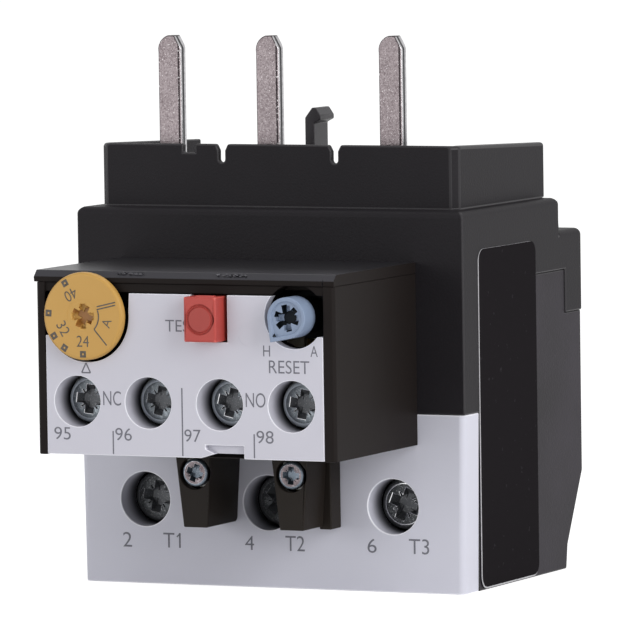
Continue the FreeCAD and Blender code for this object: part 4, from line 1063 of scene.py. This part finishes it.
# Painted shade in the star recess; the same dark blue also marks the tip.
blue_recess_shade_and_mark = moulded("blue_recess_shade_and_mark", "0c1014", "1a2128", 0.5, level=0.1)
knob = eased("reset_knob", KNOB_EDGE, blue, "knob")
knob_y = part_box("reset_knob")[0].y
lobes = []
for k in range(KNOB_LOBES):
    lobe = block(0, LOBE_LONG, -RECESS_CLEAR, LOBE_DEEP, -LOBE_HALF, LOBE_HALF)
    spin = Matrix.Rotation(2 * math.pi * (k + LOBE_TURN) / KNOB_LOBES, 4, "Y")
    place = Matrix.Translation((KNOB_X * MM, knob_y, KNOB_Z * MM))
    bmesh.ops.transform(lobe, matrix=place @ spin, verts=lobe.verts)
    lobes.append(cutter_from(lobe))
lobes.append(cutter_from(disc(
    WELL_R, KNOB_X * MM, KNOB_Z * MM, knob_y - RECESS_CLEAR, knob_y + WELL_DEEP, WELL_SIDES,
)))
carve(knob, lobes, blue_recess_shade_and_mark, KNOB_RIM)
tip = disc(
    TIP_SIZE, (KNOB_X - TIP_LEFT) * MM, (KNOB_Z - TIP_DOWN) * MM,
    knob_y - TIP_HALF, knob_y + TIP_HALF, TIP_SIDES,
)
piece("knob_tip_mark", tip, blue_recess_shade_and_mark, "knob")


# Inner parts. Everything behind the covers keeps the solid's own shape: clamp cages, bars,
# windings, bimetals, slides, lever, carrier, springs, washers and contacts, each in its finish.
INNER_FINISHES = {
    "terminal_brass": steel("bar_brass", "a98c4e", "c9ab69", 0.3, 1.0),
    "heater_ribbon": steel("heater_ribbon", "6f6558", "8f8476", 0.42, 1.0),
    "bimetal": steel("bimetal", "9a9080", "b6ac98", 0.34, 1.0),
    "zinc_cage": steel("zinc_cage", "8f9092", "b4b5b6", 0.36, 1.0),
    "zinc_washer": steel("zinc_washer", "90918f", "b6b7b5", 0.34, 1.0),
    "contact_brass": steel("contact_brass", "b0914e", "d2b26c", 0.28, 1.0),
    "spring_steel": steel("spring_steel", "8a8b8c", "b8b9ba", 0.26, 1.0),
    "inner_plastic": moulded("inner_natural", "cfc7b6", "dad3c3", 0.5),
    "cam_plastic": moulded("cam_ochre", "c89a45", "d3a653", 0.5),
    "plunger_plastic": moulded("plunger_black", "101113", "1a1b1d", 0.5, level=0.05),
}
for node, made in frame["nodes"].items():
    if made.hide_render:
        continue
    material = INNER_FINISHES[slot_of[node]]
    made.data.materials.clear()
    made.data.materials.append(material)


# Floor and light. A plain pale floor that reads white to the camera and keeps the shadow, one
# large soft lamp from the right, a weaker one from the left front and one from above. The
# world is white to a straight look and a weaker fill light on the object.
FLOOR_SIZE = 6.0
FLOOR_PALE = 0.92
FLOOR_LIT = 0.42
FLOOR_GLOW = 0.84
WORLD_FILL = 0.5
LAMP_AIM = Vector((0, 0, 0.035))
LAMP_SIZE = 0.7
LAMPS = (
    ("right_lamp", (0.98, -0.36, 0.42), 8.2),
    ("left_lamp", (-0.75, -0.92, 0.1), 4.5),
    ("top_lamp", (0.1, -0.1, 1.0), 2.2),
)


def grey(level):
    return (level, level, level, 1)


def direct_rays(nodes):
    """One for a ray of the camera or one that it sends on, and zero for light from a surface."""
    camera = nodes.node("ShaderNodeLightPath", {}, {}, "Is Camera Ray")
    mirrored = nodes.node("ShaderNodeLightPath", {}, {}, "Is Glossy Ray")
    through = nodes.node("ShaderNodeLightPath", {}, {}, "Is Transmission Ray")
    return nodes.clamp(camera + mirrored + through)


floor_shape = bmesh.new()
bmesh.ops.create_grid(floor_shape, x_segments=1, y_segments=1, size=FLOOR_SIZE / 2)
floor = placed("floor", mesh_of(floor_shape, "floor"))
pale = Finish("pale_floor", Roughness=0.9, Specular_IOR_Level=0.0, Emission_Strength=1.0)
direct = direct_rays(pale)
paleness = pale.mix(direct, grey(FLOOR_PALE), grey(FLOOR_LIT))
glow = pale.mix(direct, grey(0), grey(FLOOR_GLOW))
pale.paint(Base_Color=paleness, Emission_Color=glow)
floor.data.materials.append(pale.material)

world = bpy.data.worlds.new("studio")
bpy.context.scene.world = world
world.use_nodes = True
sky = Nodes(world.node_tree)
backdrop = sky.tree.nodes["Background"]
backdrop.inputs["Color"].default_value = grey(1)
sky.plug(backdrop.inputs["Strength"], WORLD_FILL + direct_rays(sky) * (1 - WORLD_FILL))

for name, place, power in LAMPS:
    lamp = bpy.data.lights.new(name, "AREA")
    lamp.shape = "SQUARE"
    lamp.size = LAMP_SIZE
    lamp.energy = power
    holder = placed(name, lamp)
    holder.location = place
    holder.rotation_euler = (LAMP_AIM - Vector(place)).to_track_quat("-Z", "Y").to_euler()


# Camera. A long lens from the front right, a little above the object, with a slight roll.
# The place is in millimetres.
CAMERA_PLACE = (447.8, -940.85, 115.5)
YAW = math.radians(25.28)
RISE = math.radians(4.25)
ROLL = math.radians(-0.84)
FOCAL_PIXELS = 7388
IMAGE_HEIGHT = 630
SENSOR = 36.0
NEAREST = 0.05
FURTHEST = 20
back = Vector((math.sin(YAW) * math.cos(RISE), -math.cos(YAW) * math.cos(RISE), math.sin(RISE)))
level_right = Vector((math.cos(YAW), math.sin(YAW), 0))
level_up = back.cross(level_right)
right = math.cos(ROLL) * level_right + math.sin(ROLL) * level_up
up = math.cos(ROLL) * level_up - math.sin(ROLL) * level_right
lens = bpy.data.cameras.new("camera")
lens.sensor_width = SENSOR
lens.lens = FOCAL_PIXELS * SENSOR / IMAGE_HEIGHT
lens.clip_start = NEAREST
lens.clip_end = FURTHEST
camera = placed("camera", lens)
turned_axes = Matrix((right, up, back)).transposed().to_4x4()
camera.matrix_world = Matrix.Translation(Vector(CAMERA_PLACE) * MM) @ turned_axes
bpy.context.scene.camera = camera
bpy.context.scene.view_settings.view_transform = "Standard"
